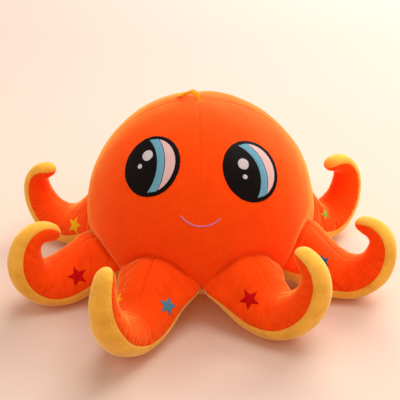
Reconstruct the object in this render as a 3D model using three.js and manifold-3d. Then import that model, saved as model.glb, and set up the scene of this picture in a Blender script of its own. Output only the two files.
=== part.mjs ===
import * as THREE from "three";
import { mergeVertices } from "three/addons/utils/BufferGeometryUtils.js";
import Module from "manifold-3d";

const wasm = await Module();
wasm.setup();

// A stuffed plush octopus, in millimetres, +Z up. The origin is the middle of the flat patch under the
// base, on the surface that the toy stands on. The face looks along -Y. Left and right are as seen
// from the front, so left is -X. A direction round the toy is an angle from the front, positive to the
// right.

// Head: a ball of four panels, closed below by a round base panel.
const HEAD_RADIUS = 138.8;
const HEAD_WIDEST_HEIGHT = 82.4;
const HEAD_CROWN = 142.3;
const BASE_FLAT_RADIUS = 60;
const BASE_SEAM_HEIGHT = 40;
const BASE_BULGE = 5.5;
const POLE_RADIUS = 3;

// Cloth, seams and the flat patches that the weight presses into what touches the floor.
const CLOTH = 2;
const SEAM_GAP = 0.3;
const PRESSED_FLAT = 0.5;

// Arms: the length of one and the sizes that its tables of shares taper from root to tip.
const ARM_LENGTH = 271;
const ARM_ROOT_DEPTH = 69;
const ARM_HALF_WIDTH = 47.5;
const ARM_TOP = 70;
const ARM_SOLE = 20;
const ARM_SPACING = 45;
const ARM_SEAM_LIFT = 17.5;
const ARM_CURL_SEAM_LIFT = 5;
const ARM_ROOT_FLARE = 25;

// Embroidery: the height of its stitches, then each motif.
const STITCH_HEIGHT = 1;
const EYE_WIDTH = 70;
const EYE_HEIGHT = 74;
const EYE_OUTLINE = 4.5;
const EYE_PUPIL_RADIUS = 46;
const EYE_PUPIL_REACH = 8;
const EYE_BAND = 9.6;
const EYE_AROUND = 33.2;
const EYE_LEAN = 11;
const EYE_GAZE_LEAN = 10;
const EYE_LEFT_HEIGHT = 179;
const EYE_RIGHT_HEIGHT = 173;
const GLINT = 14;
const GLINT_RIGHT = -8;
const GLINT_UP = 9.5;
const SMALL_GLINT = 6.5;
const SMALL_GLINT_RIGHT = -11;
const SMALL_GLINT_UP = -4;
const MOUTH_WIDTH = 45;
const MOUTH_DEPTH = 10.5;
const MOUTH_LINE = 2;
const MOUTH_HEIGHT = 134.5;
const MOUTH_TILT = -4.5;
const STAR_RADIUS = 13;
const STAR_WAIST = 5.8;
const MOTIF_REACH = 14;

// Hanging loop: a thin cord sewn into the top of the head, which has flopped over to the back left.
const CORD = 3;
const LOOP_REACH = 29;
const LOOP_RISE = 6.5;
const LOOP_SPREAD = 9;
const LOOP_FOOT_SPREAD = 3.6;
const LOOP_DIRECTION = -125;

// How finely the round forms are cut into flat facets.
const GORES = 4;
const GORE_COLUMNS = 6;
const CROWN_ROWS = 6;
const UNDER_ROWS = 2;
const BASE_ROWS = 2;
const SIDE_COLUMNS = 3;
const SOLE_COLUMNS = 4;
const PATH_STEPS = 130;
const CORD_STEPS = 26;
const CORD_SIDES = 6;
const MOTIF_SEGMENTS = 8;
const STAR_POINTS = 5;

// The underside of the head is fuller than an ellipse where this power is less than 1. Then how matt
// cloth and thread are.
const UNDER_POWER = 0.84;
const CLOTH_ROUGHNESS = 0.95;
const THREAD_ROUGHNESS = 0.7;

// Along an arm, from its root to its tip: how steeply it climbs, in degrees, and how its sizes taper.
const ARM_CLIMB = [-12, -12.5, -8, 46, 106, 203];
const ARM_WIDTH_SHARES = [1, 0.81, 0.73, 0.535, 0.38, 0.25];
const ARM_TOP_SHARES = [1, 0.9, 0.5, 0.44, 0.34, 0.14];
const ARM_SOLE_SHARES = [0.55, 0.91, 0.91, 0.67, 0.46, 0.46];
const ARM_RING_SHARES = [0.15, 0.28, 0.41, 0.52, 0.62, 0.72, 0.81, 0.9, 0.972, 1];
const ARM_FILLING_RINGS = 8;
const TIP_START_SHARE = 0.95;
const TIP_SHARE = 0.12;
const LIFT_END_SHARE = 0.53;
const CURL_LIFT_SHARES = [0.34, 0.5, 0.72, 0.98];
const FLARE_END_SHARE = 0.41;
const FLARE_POWER = 1.6;
const CROWN_END_SHARE = 0.5;
const BEND_DONE_SHARE = 0.7;
const TWIST_START_SHARE = 0.3;
const CORE_SHARE = 0.35;

// Each arm's place round the head, counted in arm spacings from the front.
const ARM_PLACES = {
  front_left: -0.5,
  side_left: -1.5,
  rear_left: -2.5,
  back_left: -3.5,
  back_right: 3.5,
  rear_right: 2.5,
  side_right: 1.5,
  front_right: 0.5,
};

// Each arm's own posture: its sideways bend and its twist in degrees, its shares of the common curl,
// length and fullness, how late the curl starts, more than 1 for later, and its share of the common
// height at the root.
const ARM_POSTURES = {
  front_left: { bend: 0.8, twist: -26, curl: 0.7, stretch: 1.1, full: 0.98, late: 0.94, crown: 0.88 },
  side_left: { bend: 9, twist: -33, curl: 1.2, stretch: 1.015, full: 1.05, late: 1.03, crown: 0.64 },
  rear_left: { bend: -4, twist: 0, curl: 0.95, stretch: 0.945, full: 0.965, late: 1.1, crown: 1.08 },
  back_left: { bend: 6, twist: 5, curl: 1, stretch: 0.975, full: 0.98, late: 1, crown: 1 },
  back_right: { bend: -8, twist: -6, curl: 0.95, stretch: 0.965, full: 1, late: 1.03, crown: 1 },
  rear_right: { bend: 17.5, twist: 8, curl: 1.015, stretch: 0.94, full: 0.91, late: 0.93, crown: 1.25 },
  side_right: { bend: -0.5, twist: 24, curl: 1, stretch: 0.955, full: 0.995, late: 1.06, crown: 1 },
  front_right: { bend: 33, twist: 15, curl: 0.835, stretch: 0.965, full: 1.045, late: 0.93, crown: 0.9 },
};

// How far along its arm each star lies.
const STAR_SHARES = {
  front_left: 0.34,
  side_left: 0.377,
  rear_left: 0.34,
  back_left: 0.35,
  back_right: 0.35,
  rear_right: 0.34,
  side_right: 0.355,
  front_right: 0.362,
};

// How far above the side seam each star is, in degrees round its arm.
const STAR_ABOVE_SEAM = {
  front_left: 35,
  side_left: 37,
  rear_left: 20,
  back_left: 38,
  back_right: 38,
  rear_right: 37,
  side_right: 48,
  front_right: 45,
};

const COLOURS = {
  orange: "#ff4e10",
  yellow: "#efa83e",
  filling: "#f4f1ea",
  black: "#1a100d",
  blue: "#5aa5bf",
  pink: "#dcaaa0",
  white: "#d9cdcd",
  mouth: "#c86a9a",
  cord: "#ffb000",
};
const STAR_COLOURS = {
  front_left: "#4692ad",
  side_left: "#b40000",
  rear_left: "#e0a818",
  back_left: "#4692ad",
  back_right: "#c00008",
  rear_right: "#a5c44e",
  side_right: "#2f5f80",
  front_right: "#c00008",
};

// Farther out than any part of the toy.
const REACH = 2 * (HEAD_RADIUS + ARM_LENGTH);

const octopus = new THREE.Group();
octopus.name = "plush_octopus";

const sine = (degrees) => Math.sin(THREE.MathUtils.degToRad(degrees));
const cosine = (degrees) => Math.cos(THREE.MathUtils.degToRad(degrees));

// A direction round the toy as a flat vector pointing outwards.
function outward(around) {
  return new THREE.Vector3(sine(around), -cosine(around), 0);
}

// Gives a shape its name, colour and place in the toy.
function addPiece(name, geometry, colour, roughness = CLOTH_ROUGHNESS) {
  geometry.computeVertexNormals();
  const material = new THREE.MeshStandardMaterial({ color: colour, roughness, metalness: 0 });
  const piece = new THREE.Mesh(geometry, material);
  piece.name = name;
  octopus.add(piece);
}

// Solids and geometries
function solidOf(geometry) {
  const bare = geometry.index ? geometry.toNonIndexed() : geometry.clone();
  bare.deleteAttribute("normal");
  bare.deleteAttribute("uv");
  const merged = mergeVertices(bare);
  return new wasm.Manifold(
    new wasm.Mesh({
      numProp: 3,
      vertProperties: merged.attributes.position.array,
      triVerts: new Uint32Array(merged.index.array),
    }),
  );
}

function geometryOf(solid) {
  const mesh = solid.getMesh();
  const geometry = new THREE.BufferGeometry();
  geometry.setAttribute("position", new THREE.BufferAttribute(mesh.vertProperties, 3));
  geometry.setIndex(new THREE.BufferAttribute(mesh.triVerts, 1));
  return geometry.toNonIndexed();
}

function geometryFrom(points, triangles) {
  const geometry = new THREE.BufferGeometry();
  geometry.setFromPoints(points);
  geometry.setIndex(triangles);
  return geometry;
}

// A curved panel with thickness: two grids of points, the outer and the inner one, closed round their rim.
function panelGeometry(outer, inner) {
  const rows = outer.length;
  const columns = outer[0].length;
  const points = [...outer.flat(), ...inner.flat()];
  const innerStart = rows * columns;
  const out = (i, j) => i * columns + j;
  const within = (i, j) => innerStart + out(i, j);
  const triangles = [];
  const quad = (a, b, c, d) => triangles.push(a, b, c, b, d, c);
  const inwardQuad = (a, b, c, d) => triangles.push(a, c, b, b, c, d);
  for (let i = 0; i < rows - 1; i++) {
    for (let j = 0; j < columns - 1; j++) {
      quad(out(i, j), out(i + 1, j), out(i, j + 1), out(i + 1, j + 1));
      inwardQuad(within(i, j), within(i + 1, j), within(i, j + 1), within(i + 1, j + 1));
    }
    const last = columns - 1;
    quad(within(i, 0), within(i + 1, 0), out(i, 0), out(i + 1, 0));
    quad(out(i, last), out(i + 1, last), within(i, last), within(i + 1, last));
  }
  for (let j = 0; j < columns - 1; j++) {
    const last = rows - 1;
    quad(within(0, j), out(0, j), within(0, j + 1), out(0, j + 1));
    quad(out(last, j), within(last, j), out(last, j + 1), within(last, j + 1));
  }
  return geometryFrom(points, triangles);
}

// A solid skinned over closed rings of points, with a fan over each end.
function ringSolid(rings) {
  const columns = rings[0].length;
  const points = rings.flat();
  const middle = (ring) => ring.reduce((sum, p) => sum.add(p), new THREE.Vector3()).divideScalar(columns);
  const startMiddle = points.push(middle(rings[0])) - 1;
  const endMiddle = points.push(middle(rings[rings.length - 1])) - 1;
  const lastRing = (rings.length - 1) * columns;
  const triangles = [];
  for (let j = 0; j < columns; j++) {
    const next = (j + 1) % columns;
    for (let i = 0; i < rings.length - 1; i++) {
      const here = i * columns;
      const below = here + columns;
      triangles.push(here + j, below + j, here + next, below + j, below + next, here + next);
    }
    triangles.push(startMiddle, j, next);
    triangles.push(endMiddle, lastRing + next, lastRing + j);
  }
  return solidOf(geometryFrom(points, triangles));
}

// Head form: one turned outline of a quarter ellipse and a fuller curve under it, from the pole down to the
// flat under the base.
function crownPoint(latitude, offset) {
  const normal = new THREE.Vector2(cosine(latitude) * HEAD_CROWN, sine(latitude) * HEAD_RADIUS).normalize();
  const radius = HEAD_RADIUS * cosine(latitude) + offset * normal.x;
  const height = HEAD_WIDEST_HEIGHT + HEAD_CROWN * sine(latitude) + offset * normal.y;
  return new THREE.Vector2(radius, height);
}

const UNDER_DEPTH = HEAD_WIDEST_HEIGHT + PRESSED_FLAT;
const UNDER_SPREAD = HEAD_RADIUS - BASE_FLAT_RADIUS;

function underPoint(angle, offset) {
  const [outShare, downShare] = [Math.max(cosine(angle), 0), sine(angle)];
  const steepness = 2 - UNDER_POWER;
  const slope = [outShare ** steepness * UNDER_DEPTH, -(downShare ** steepness) * UNDER_SPREAD];
  const normal = new THREE.Vector2(...slope);
  normal.normalize();
  const radius = BASE_FLAT_RADIUS + UNDER_SPREAD * outShare ** UNDER_POWER + offset * normal.x;
  const height = HEAD_WIDEST_HEIGHT - UNDER_DEPTH * downShare ** UNDER_POWER + offset * normal.y;
  return new THREE.Vector2(radius, height);
}

const POLE_LATITUDE = THREE.MathUtils.radToDeg(Math.acos(POLE_RADIUS / HEAD_RADIUS));
const SEAM_DEPTH_SHARE = (HEAD_WIDEST_HEIGHT - BASE_SEAM_HEIGHT) / UNDER_DEPTH;
const SEAM_ANGLE = THREE.MathUtils.radToDeg(Math.asin(SEAM_DEPTH_SHARE ** (1 / UNDER_POWER)));

function crownOutline(offset) {
  const outline = [];
  for (let i = 0; i < CROWN_ROWS; i++) {
    outline.push(crownPoint(POLE_LATITUDE * (1 - i / CROWN_ROWS), offset));
  }
  for (let i = 0; i <= UNDER_ROWS; i++) {
    outline.push(underPoint((SEAM_ANGLE * i) / UNDER_ROWS, offset));
  }
  return outline;
}

// Under the base seam the cloth slopes in to the flat with a slight bulge, as a sagging dish.
function baseOutline(offset) {
  const seam = underPoint(SEAM_ANGLE, 0);
  const flat = underPoint(90, 0);
  const slope = flat.clone().sub(seam);
  const normal = new THREE.Vector2(-slope.y, slope.x);
  normal.normalize();
  const outline = [underPoint(SEAM_ANGLE, offset)];
  for (let i = 1; i < BASE_ROWS; i++) {
    const share = i / BASE_ROWS;
    const bulge = BASE_BULGE * 4 * share * (1 - share);
    outline.push(seam.clone().lerp(flat, share).addScaledVector(normal, bulge + offset));
  }
  outline.push(underPoint(90, offset));
  return outline;
}

const turned = (point, around) => outward(around).multiplyScalar(point.x).setZ(point.y);

function turnedRings(outline) {
  const columns = GORES * GORE_COLUMNS;
  const ring = (point) => Array.from({ length: columns }, (_, j) => turned(point, (360 * j) / columns));
  return outline.map(ring);
}

// The whole head, solid, grown or shrunk by an offset: it cuts the arms and carries the face.
function headSolid(offset) {
  return ringSolid(turnedRings([...crownOutline(offset), ...baseOutline(offset).slice(1)]));
}

// A box that holds everything below the floor.
function belowFloor() {
  const box = new THREE.BoxGeometry(REACH, REACH, REACH);
  box.translate(0, 0, -REACH / 2);
  return solidOf(box);
}

const floorCut = belowFloor();

// One of the four head panels, from the pole seam down to the base seam.
function goreGeometry(index) {
  const width = 360 / GORES;
  const start = width * index;
  const grid = (offset) =>
    crownOutline(offset).map((point) => {
      const seam = THREE.MathUtils.radToDeg(Math.asin(SEAM_GAP / 2 / point.x));
      return Array.from({ length: GORE_COLUMNS + 1 }, (_, j) => {
        const around = start + seam + ((width - 2 * seam) * j) / GORE_COLUMNS;
        return turned(point, around);
      });
    });
  return panelGeometry(grid(0), grid(-CLOTH));
}

// The base panel: a shallow dish from just under the base seam to the flat patch that stands on the floor.
function baseGeometry() {
  const lowered = (outline) => {
    outline[0].lerp(outline[1], SEAM_GAP / outline[0].distanceTo(outline[1]));
    return outline;
  };
  const hollow = lowered(baseOutline(-CLOTH));
  const aboveRim = hollow[0].clone().setY(hollow[0].y + CLOTH);
  const dish = ringSolid(turnedRings(lowered(baseOutline(0))));
  return geometryOf(dish.subtract(ringSolid(turnedRings([aboveRim, ...hollow]))).subtract(floorCut));
}

function headFillingGeometry() {
  return geometryOf(headSolid(-CLOTH - SEAM_GAP));
}

function addHead() {
  const quarters = ["front_right", "back_right", "back_left", "front_left"];
  quarters.forEach((quarter, index) => {
    addPiece("head_" + quarter + "_panel", goreGeometry(index), COLOURS.orange);
  });
  addPiece("base_panel", baseGeometry(), COLOURS.yellow);
  addPiece("head_filling", headFillingGeometry(), COLOURS.filling);
}

// Arm form: rings round a curved middle line that leaves the head, dips to the floor and curls up and back.
const smooth = (share) => THREE.MathUtils.smoothstep(share, 0, 1);

// A value between the evenly spaced entries of a table, on a smooth curve through them.
function along(table, share) {
  const curve = new THREE.SplineCurve(table.map((value, i) => new THREE.Vector2(i, value)));
  return curve.getPoint(share).y;
}

function climb(arm, share) {
  const slope = along(ARM_CLIMB, share ** arm.late);
  return slope > 0 ? slope * arm.curl : slope;
}

// How far the side seams rise towards the root, where they meet the base seam, and a little round the curl.
function seamLift(share) {
  const rootShare = ARM_RING_SHARES[0];
  const atRoot = 1 - smooth((share - rootShare) / (LIFT_END_SHARE - rootShare));
  const [start, full, fade, end] = CURL_LIFT_SHARES;
  const atCurl = smooth((share - start) / (full - start)) * (1 - smooth((share - fade) / (end - fade)));
  return ARM_SEAM_LIFT * atRoot + ARM_CURL_SEAM_LIFT * atCurl;
}

// How far the side seams spread beyond the arm's width near the root, where they run on into the base seam.
function rootFlare(share) {
  const rootShare = ARM_RING_SHARES[0];
  const left = Math.max(0, 1 - (share - rootShare) / (FLARE_END_SHARE - rootShare));
  return ARM_ROOT_FLARE * left * left;
}

// The middle line of an arm from the root on, with its forward, upward and sideways directions.
function armPath(arm) {
  const around = arm.place * ARM_SPACING;
  const step = (ARM_LENGTH * arm.stretch) / PATH_STEPS;
  const centre = outward(around).multiplyScalar(HEAD_RADIUS - ARM_ROOT_DEPTH);
  const path = [];
  for (let i = 0; i <= PATH_STEPS; i++) {
    const share = i / PATH_STEPS;
    const slope = climb(arm, share);
    const heading = outward(around + arm.bend * smooth(share / BEND_DONE_SHARE));
    const forward = heading.clone().multiplyScalar(cosine(slope)).setZ(sine(slope));
    const up = heading.clone().multiplyScalar(-sine(slope)).setZ(cosine(slope));
    const side = forward.clone().cross(up);
    const twistShare = Math.max(0, (share - TWIST_START_SHARE) / (1 - TWIST_START_SHARE));
    const turn = arm.twist * twistShare;
    const turnedUp = up.clone().multiplyScalar(cosine(turn)).addScaledVector(side, sine(turn));
    const turnedSide = side.clone().multiplyScalar(cosine(turn)).addScaledVector(up, -sine(turn));
    const middle = centre.clone().addScaledVector(turnedUp, seamLift(share));
    path.push({ centre: middle, up: turnedUp, side: turnedSide });
    centre.addScaledVector(forward, step);
  }
  const soleHeight = (share) => {
    const spot = path[Math.round(share * PATH_STEPS)];
    return spot.centre.z - armSection(arm, share, 0).sole;
  };
  const lowest = Math.min(...ARM_RING_SHARES.map(soleHeight));
  path.forEach((spot) => spot.centre.setZ(spot.centre.z - lowest - PRESSED_FLAT));
  return path;
}

// The tip is rounded off: it shrinks along a quarter circle over its last stretch.
function tipShare(share) {
  const past = Math.max(0, (share - TIP_START_SHARE) / (1 - TIP_START_SHARE));
  return Math.sqrt(Math.max(1 - past * past, TIP_SHARE * TIP_SHARE));
}

// Half the width of an arm at one place and its heights above and below the side seams, moved by an offset.
function armSection(arm, share, offset) {
  const grown = (rootSize, lift) => {
    const size = rootSize * arm.full * tipShare(share) + lift;
    return Math.max(size + offset, size * CORE_SHARE);
  };
  const lift = seamLift(share);
  const past = (share - ARM_RING_SHARES[0]) / (CROWN_END_SHARE - ARM_RING_SHARES[0]);
  const topShare = along(ARM_TOP_SHARES, share) * (1 + (arm.crown - 1) * (1 - smooth(past)));
  return {
    width: grown(ARM_HALF_WIDTH * along(ARM_WIDTH_SHARES, share), 0),
    top: grown(ARM_TOP * topShare, -lift),
    sole: grown(ARM_SOLE * along(ARM_SOLE_SHARES, share), lift),
  };
}

// The point of an arm's surface at a share of its length and an angle round it: 0 and 180 are the side
// seams, 90 is the ridge.
function armPoint(arm, share, angle, offset) {
  const spot = arm.path[Math.round(share * PATH_STEPS)];
  const section = armSection(arm, share, offset);
  const rise = sine(angle) > 0 ? section.top : section.sole;
  const flare = rootFlare(share) * (1 - Math.abs(sine(angle))) ** FLARE_POWER;
  return spot.centre
    .clone()
    .addScaledVector(spot.side, section.width * cosine(angle) + flare * Math.sign(cosine(angle)))
    .addScaledVector(spot.up, rise * sine(angle));
}

// Angles from one seam to the next, drawn in by half the seam gap at both ends.
function panelAngles(arm, share, from, to, columns, offset) {
  const section = armSection(arm, share, offset);
  const seam = THREE.MathUtils.radToDeg(Math.asin(SEAM_GAP / 2 / Math.max(section.sole, SEAM_GAP)));
  const step = (to - from - 2 * seam) / columns;
  return Array.from({ length: columns + 1 }, (_, j) => from + seam + step * j);
}

function armPanelSolid(arm, from, to, columns) {
  const grid = (offset) =>
    ARM_RING_SHARES.map((share) => {
      const angles = panelAngles(arm, share, from, to, columns, offset);
      return angles.map((angle) => armPoint(arm, share, angle, offset));
    });
  return solidOf(panelGeometry(grid(0), grid(-CLOTH)));
}

function armSolid(arm, offset, ringCount = ARM_RING_SHARES.length) {
  const angles = [];
  for (let j = 0; j < 2 * SIDE_COLUMNS; j++) {
    angles.push((180 * j) / (2 * SIDE_COLUMNS));
  }
  for (let j = 0; j < SOLE_COLUMNS; j++) {
    angles.push(180 + (180 * j) / SOLE_COLUMNS);
  }
  const rings = ARM_RING_SHARES.slice(0, ringCount);
  return ringSolid(rings.map((share) => angles.map((angle) => armPoint(arm, share, angle, offset))));
}

// The space on both sides of an arm's own eighth of the circle, where its neighbours press against it.
function neighbourSolids(arm) {
  return [-1, 1].map((side) => {
    const box = new THREE.BoxGeometry(REACH, REACH, REACH);
    box.translate((side * (REACH - SEAM_GAP)) / 2, 0, 0);
    box.rotateZ(THREE.MathUtils.degToRad((arm.place + side / 2) * ARM_SPACING));
    return solidOf(box);
  });
}

const headCut = headSolid(SEAM_GAP);

// Cuts an arm's piece where the head, the neighbouring arms and the floor press on it.
function pressed(solid, arm) {
  const free = solid.subtract(headCut).subtract(floorCut);
  return arm.neighbours.reduce((rest, neighbour) => rest.subtract(neighbour), free);
}

function addArm(arm) {
  const prefix = "arm_" + arm.name;
  const panels = [
    [arm.place < 0 ? "aft_panel" : "fore_panel", 0, 90, SIDE_COLUMNS, COLOURS.orange],
    [arm.place < 0 ? "fore_panel" : "aft_panel", 90, 180, SIDE_COLUMNS, COLOURS.orange],
    ["sole_panel", 180, 360, SOLE_COLUMNS, COLOURS.yellow],
  ];
  for (const [name, from, to, columns, colour] of panels) {
    const panel = pressed(armPanelSolid(arm, from, to, columns), arm);
    addPiece(prefix + "_" + name, geometryOf(panel), colour);
  }
  const filling = pressed(armSolid(arm, -CLOTH - SEAM_GAP, ARM_FILLING_RINGS), arm);
  addPiece(prefix + "_filling", geometryOf(filling), COLOURS.filling);
}

// Embroidery: flat outlines pushed through a thin layer that follows the cloth.
const layerOf = (form) => form(SEAM_GAP + STITCH_HEIGHT).subtract(form(SEAM_GAP));

// A straight punch of an outline, centred on a place on the surface and square to it.
function punch(outline, place) {
  const prism = new THREE.ExtrudeGeometry(outline, {
    depth: 2 * MOTIF_REACH,
    bevelEnabled: false,
    curveSegments: MOTIF_SEGMENTS,
  });
  prism.translate(0, 0, -MOTIF_REACH);
  prism.rotateZ(THREE.MathUtils.degToRad(place.lean));
  const right = place.up.clone().cross(place.normal).normalize();
  const up = place.normal.clone().cross(right);
  prism.applyMatrix4(new THREE.Matrix4().makeBasis(right, up, place.normal).setPosition(place.point));
  return solidOf(prism);
}

// A place on the crown of the head, given by its direction round the toy and its height above the floor.
function crownPlace(around, height, lean) {
  const latitude = THREE.MathUtils.radToDeg(Math.asin((height - HEAD_WIDEST_HEIGHT) / HEAD_CROWN));
  const normal = outward(around).multiplyScalar(cosine(latitude) * HEAD_CROWN);
  normal.setZ(sine(latitude) * HEAD_RADIUS).normalize();
  return { point: turned(crownPoint(latitude, 0), around), normal, up: new THREE.Vector3(0, 0, 1), lean };
}

function ellipse(width, height, right = 0, up = 0) {
  return new THREE.Shape().absellipse(right, up, width / 2, height / 2, 0, 2 * Math.PI, false, 0);
}

// The pupil's large disc, whose right edge crosses the eye's field, grown by the given amount.
function gazeDisc(grow) {
  const radius = EYE_PUPIL_RADIUS + grow;
  const middle = new THREE.Vector2(EYE_PUPIL_REACH - EYE_PUPIL_RADIUS, 0);
  middle.rotateAround(new THREE.Vector2(), THREE.MathUtils.degToRad(EYE_GAZE_LEAN));
  return ellipse(2 * radius, 2 * radius, middle.x, middle.y);
}

function addEye(side, around, height, lean, layer) {
  const place = crownPlace(around, height, lean);
  const cut = (outline) => punch(outline, place);
  const field = (grow) => {
    const rim = 2 * (EYE_OUTLINE - grow);
    return ellipse(EYE_WIDTH - rim, EYE_HEIGHT - rim);
  };
  const upright = { ...place, lean: 0 };
  const glint = (size, right, up) => punch(ellipse(size, size, right, up), upright);
  const glints = [
    ["glint", GLINT, GLINT_RIGHT, GLINT_UP],
    ["small_glint", SMALL_GLINT, SMALL_GLINT_RIGHT, SMALL_GLINT_UP],
  ];
  let black = layer.intersect(cut(ellipse(EYE_WIDTH, EYE_HEIGHT)));
  black = black.subtract(cut(field(0)).subtract(cut(gazeDisc(0))));
  for (const [, size, right, up] of glints) {
    black = black.subtract(glint(size, right, up));
  }
  const inField = layer.intersect(cut(field(-SEAM_GAP)));
  const bandSide = inField.subtract(cut(gazeDisc(SEAM_GAP)));
  const band = bandSide.intersect(cut(gazeDisc(EYE_BAND)));
  const crescent = inField.subtract(cut(gazeDisc(EYE_BAND + SEAM_GAP)));
  addPiece(side + "_eye_black", geometryOf(black), COLOURS.black, THREAD_ROUGHNESS);
  addPiece(side + "_eye_blue_band", geometryOf(band), COLOURS.blue, THREAD_ROUGHNESS);
  addPiece(side + "_eye_pink_crescent", geometryOf(crescent), COLOURS.pink, THREAD_ROUGHNESS);
  for (const [name, size, right, up] of glints) {
    const dot = layer.intersect(glint(size - 2 * SEAM_GAP, right, up));
    addPiece(side + "_eye_" + name, geometryOf(dot), COLOURS.white, THREAD_ROUGHNESS);
  }
}

// The mouth: a thin line on an arc of a circle, its ends level with the given height.
function mouthOutline() {
  const half = MOUTH_WIDTH / 2;
  const radius = (half * half + MOUTH_DEPTH * MOUTH_DEPTH) / (2 * MOUTH_DEPTH);
  const middle = radius - MOUTH_DEPTH;
  const spread = Math.asin(half / radius);
  const start = -Math.PI / 2 - spread;
  const end = -Math.PI / 2 + spread;
  const outline = new THREE.Shape();
  outline.absarc(0, middle, radius + MOUTH_LINE / 2, start, end, false);
  outline.absarc(0, middle, radius - MOUTH_LINE / 2, end, start, true);
  return outline;
}

function addFace() {
  const layer = layerOf(headSolid);
  addEye("left", -EYE_AROUND, EYE_LEFT_HEIGHT, EYE_LEAN, layer);
  addEye("right", EYE_AROUND, EYE_RIGHT_HEIGHT, -EYE_LEAN, layer);
  const mouth = layer.intersect(punch(mouthOutline(), crownPlace(0, MOUTH_HEIGHT, MOUTH_TILT)));
  addPiece("mouth_line", geometryOf(mouth), COLOURS.mouth, THREAD_ROUGHNESS);
}

function starOutline() {
  const outline = new THREE.Shape();
  for (let i = 0; i < 2 * STAR_POINTS; i++) {
    const size = i % 2 ? STAR_WAIST : STAR_RADIUS;
    const turn = (180 * i) / STAR_POINTS;
    const corner = [size * -sine(turn), size * cosine(turn)];
    if (i) outline.lineTo(...corner);
    else outline.moveTo(...corner);
  }
  outline.closePath();
  return outline;
}

// The star is on the side of the arm that is nearer the front of the toy.
function addStar(arm) {
  const share = STAR_SHARES[arm.name];
  const above = STAR_ABOVE_SEAM[arm.name];
  const angle = arm.place < 0 ? 180 - above : above;
  const step = 1 / PATH_STEPS;
  const point = armPoint(arm, share, angle, 0);
  const forward = armPoint(arm, share + step, angle, 0).sub(armPoint(arm, share - step, angle, 0));
  const round = armPoint(arm, share, angle + 1, 0).sub(armPoint(arm, share, angle - 1, 0));
  const normal = forward.cross(round).normalize();
  const place = { point, normal, up: new THREE.Vector3(0, 0, 1), lean: 0 };
  const layer = layerOf((offset) => armSolid(arm, offset));
  const star = layer.intersect(punch(starOutline(), place));
  addPiece("star_" + arm.name, geometryOf(star), STAR_COLOURS[arm.name], THREAD_ROUGHNESS);
}

// The loop leaves the pole seam as two strands side by side, rises, and lies down over the head.
function addLoop() {
  const clear = CORD / 2 + SEAM_GAP;
  const reachShares = [0, 0.12, 0.3, 0.52, 0.76, 0.94];
  const riseShares = [-0.1, 0.55, 1, 0.75, 0.2, 0];
  const spreadShares = [0, 0.05, 0.2, 0.7, 1, 0.6];
  const away = outward(LOOP_DIRECTION);
  const across = new THREE.Vector3(0, 0, 1).cross(away);
  const headTop = (distance) => {
    const slope = Math.sqrt(1 - (distance / HEAD_RADIUS) ** 2);
    return HEAD_WIDEST_HEIGHT + HEAD_CROWN * slope;
  };
  const strand = (side) =>
    reachShares.map((share, i) => {
      const spread = (LOOP_FOOT_SPREAD + (LOOP_SPREAD - LOOP_FOOT_SPREAD) * spreadShares[i]) / 2;
      const height = headTop(LOOP_REACH * share) + clear + LOOP_RISE * riseShares[i];
      const middle = away.clone().multiplyScalar(LOOP_REACH * share);
      return middle.addScaledVector(across, side * spread).setZ(height);
    });
  const end = away.clone().multiplyScalar(LOOP_REACH).setZ(headTop(LOOP_REACH) + clear);
  const route = new THREE.CatmullRomCurve3([...strand(-1), end, ...strand(1).reverse()]);
  const round = [];
  for (let i = 0; i < CORD_SIDES; i++) {
    const turn = (360 * i) / CORD_SIDES;
    round.push(new THREE.Vector2((CORD / 2) * cosine(turn), (CORD / 2) * sine(turn)));
  }
  const cord = new THREE.ExtrudeGeometry(new THREE.Shape(round), {
    steps: CORD_STEPS,
    bevelEnabled: false,
    extrudePath: route,
  });
  addPiece("hanging_loop", cord, COLOURS.cord, THREAD_ROUGHNESS);
}

addHead();
for (const [name, place] of Object.entries(ARM_PLACES)) {
  const arm = { name, place, ...ARM_POSTURES[name] };
  arm.path = armPath(arm);
  arm.neighbours = neighbourSolids(arm);
  addArm(arm);
  addStar(arm);
}
addFace();
addLoop();

export default octopus;
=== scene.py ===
import math

import bmesh
import bpy
import numpy as np
from mathutils import Matrix, Vector, noise
from mathutils.bvhtree import BVHTree


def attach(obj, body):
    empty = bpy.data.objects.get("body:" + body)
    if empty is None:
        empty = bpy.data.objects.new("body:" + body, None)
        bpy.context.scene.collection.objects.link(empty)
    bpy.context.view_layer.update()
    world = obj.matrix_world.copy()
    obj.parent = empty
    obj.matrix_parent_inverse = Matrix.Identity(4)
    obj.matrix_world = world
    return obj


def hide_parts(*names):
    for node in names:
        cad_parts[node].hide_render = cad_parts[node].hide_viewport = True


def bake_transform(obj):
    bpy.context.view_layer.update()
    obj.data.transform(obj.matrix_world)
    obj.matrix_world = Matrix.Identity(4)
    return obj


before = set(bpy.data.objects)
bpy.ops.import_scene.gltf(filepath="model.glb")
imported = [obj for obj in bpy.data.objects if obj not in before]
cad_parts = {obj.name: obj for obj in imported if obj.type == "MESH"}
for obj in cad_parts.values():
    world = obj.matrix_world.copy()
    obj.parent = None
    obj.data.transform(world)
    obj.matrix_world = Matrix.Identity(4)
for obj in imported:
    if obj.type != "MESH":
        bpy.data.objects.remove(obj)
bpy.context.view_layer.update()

# The toy's own sizes, in millimetres and degrees, as in the frame. Pieces are shaped in millimetres and
# brought to metres when they become objects.
MM = 0.001
HEAD_RADIUS = 138.8
HEAD_WIDEST_HEIGHT = 82.4
HEAD_CROWN = 142.3
BASE_FLAT_RADIUS = 60
BASE_SEAM_HEIGHT = 40
BASE_BULGE = 5.5
PRESSED_FLAT = 0.5
UNDER_POWER = 0.84
FLAT_POLAR = 165
UNDER_SPAN = FLAT_POLAR - 90
BASE_EDGE_SHARE = 0.12
SEAM_GAP = 0.3
ARM_LENGTH = 271
ARM_ROOT_DEPTH = 69
ARM_HALF_WIDTH = 47.5
ARM_TOP = 70
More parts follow.
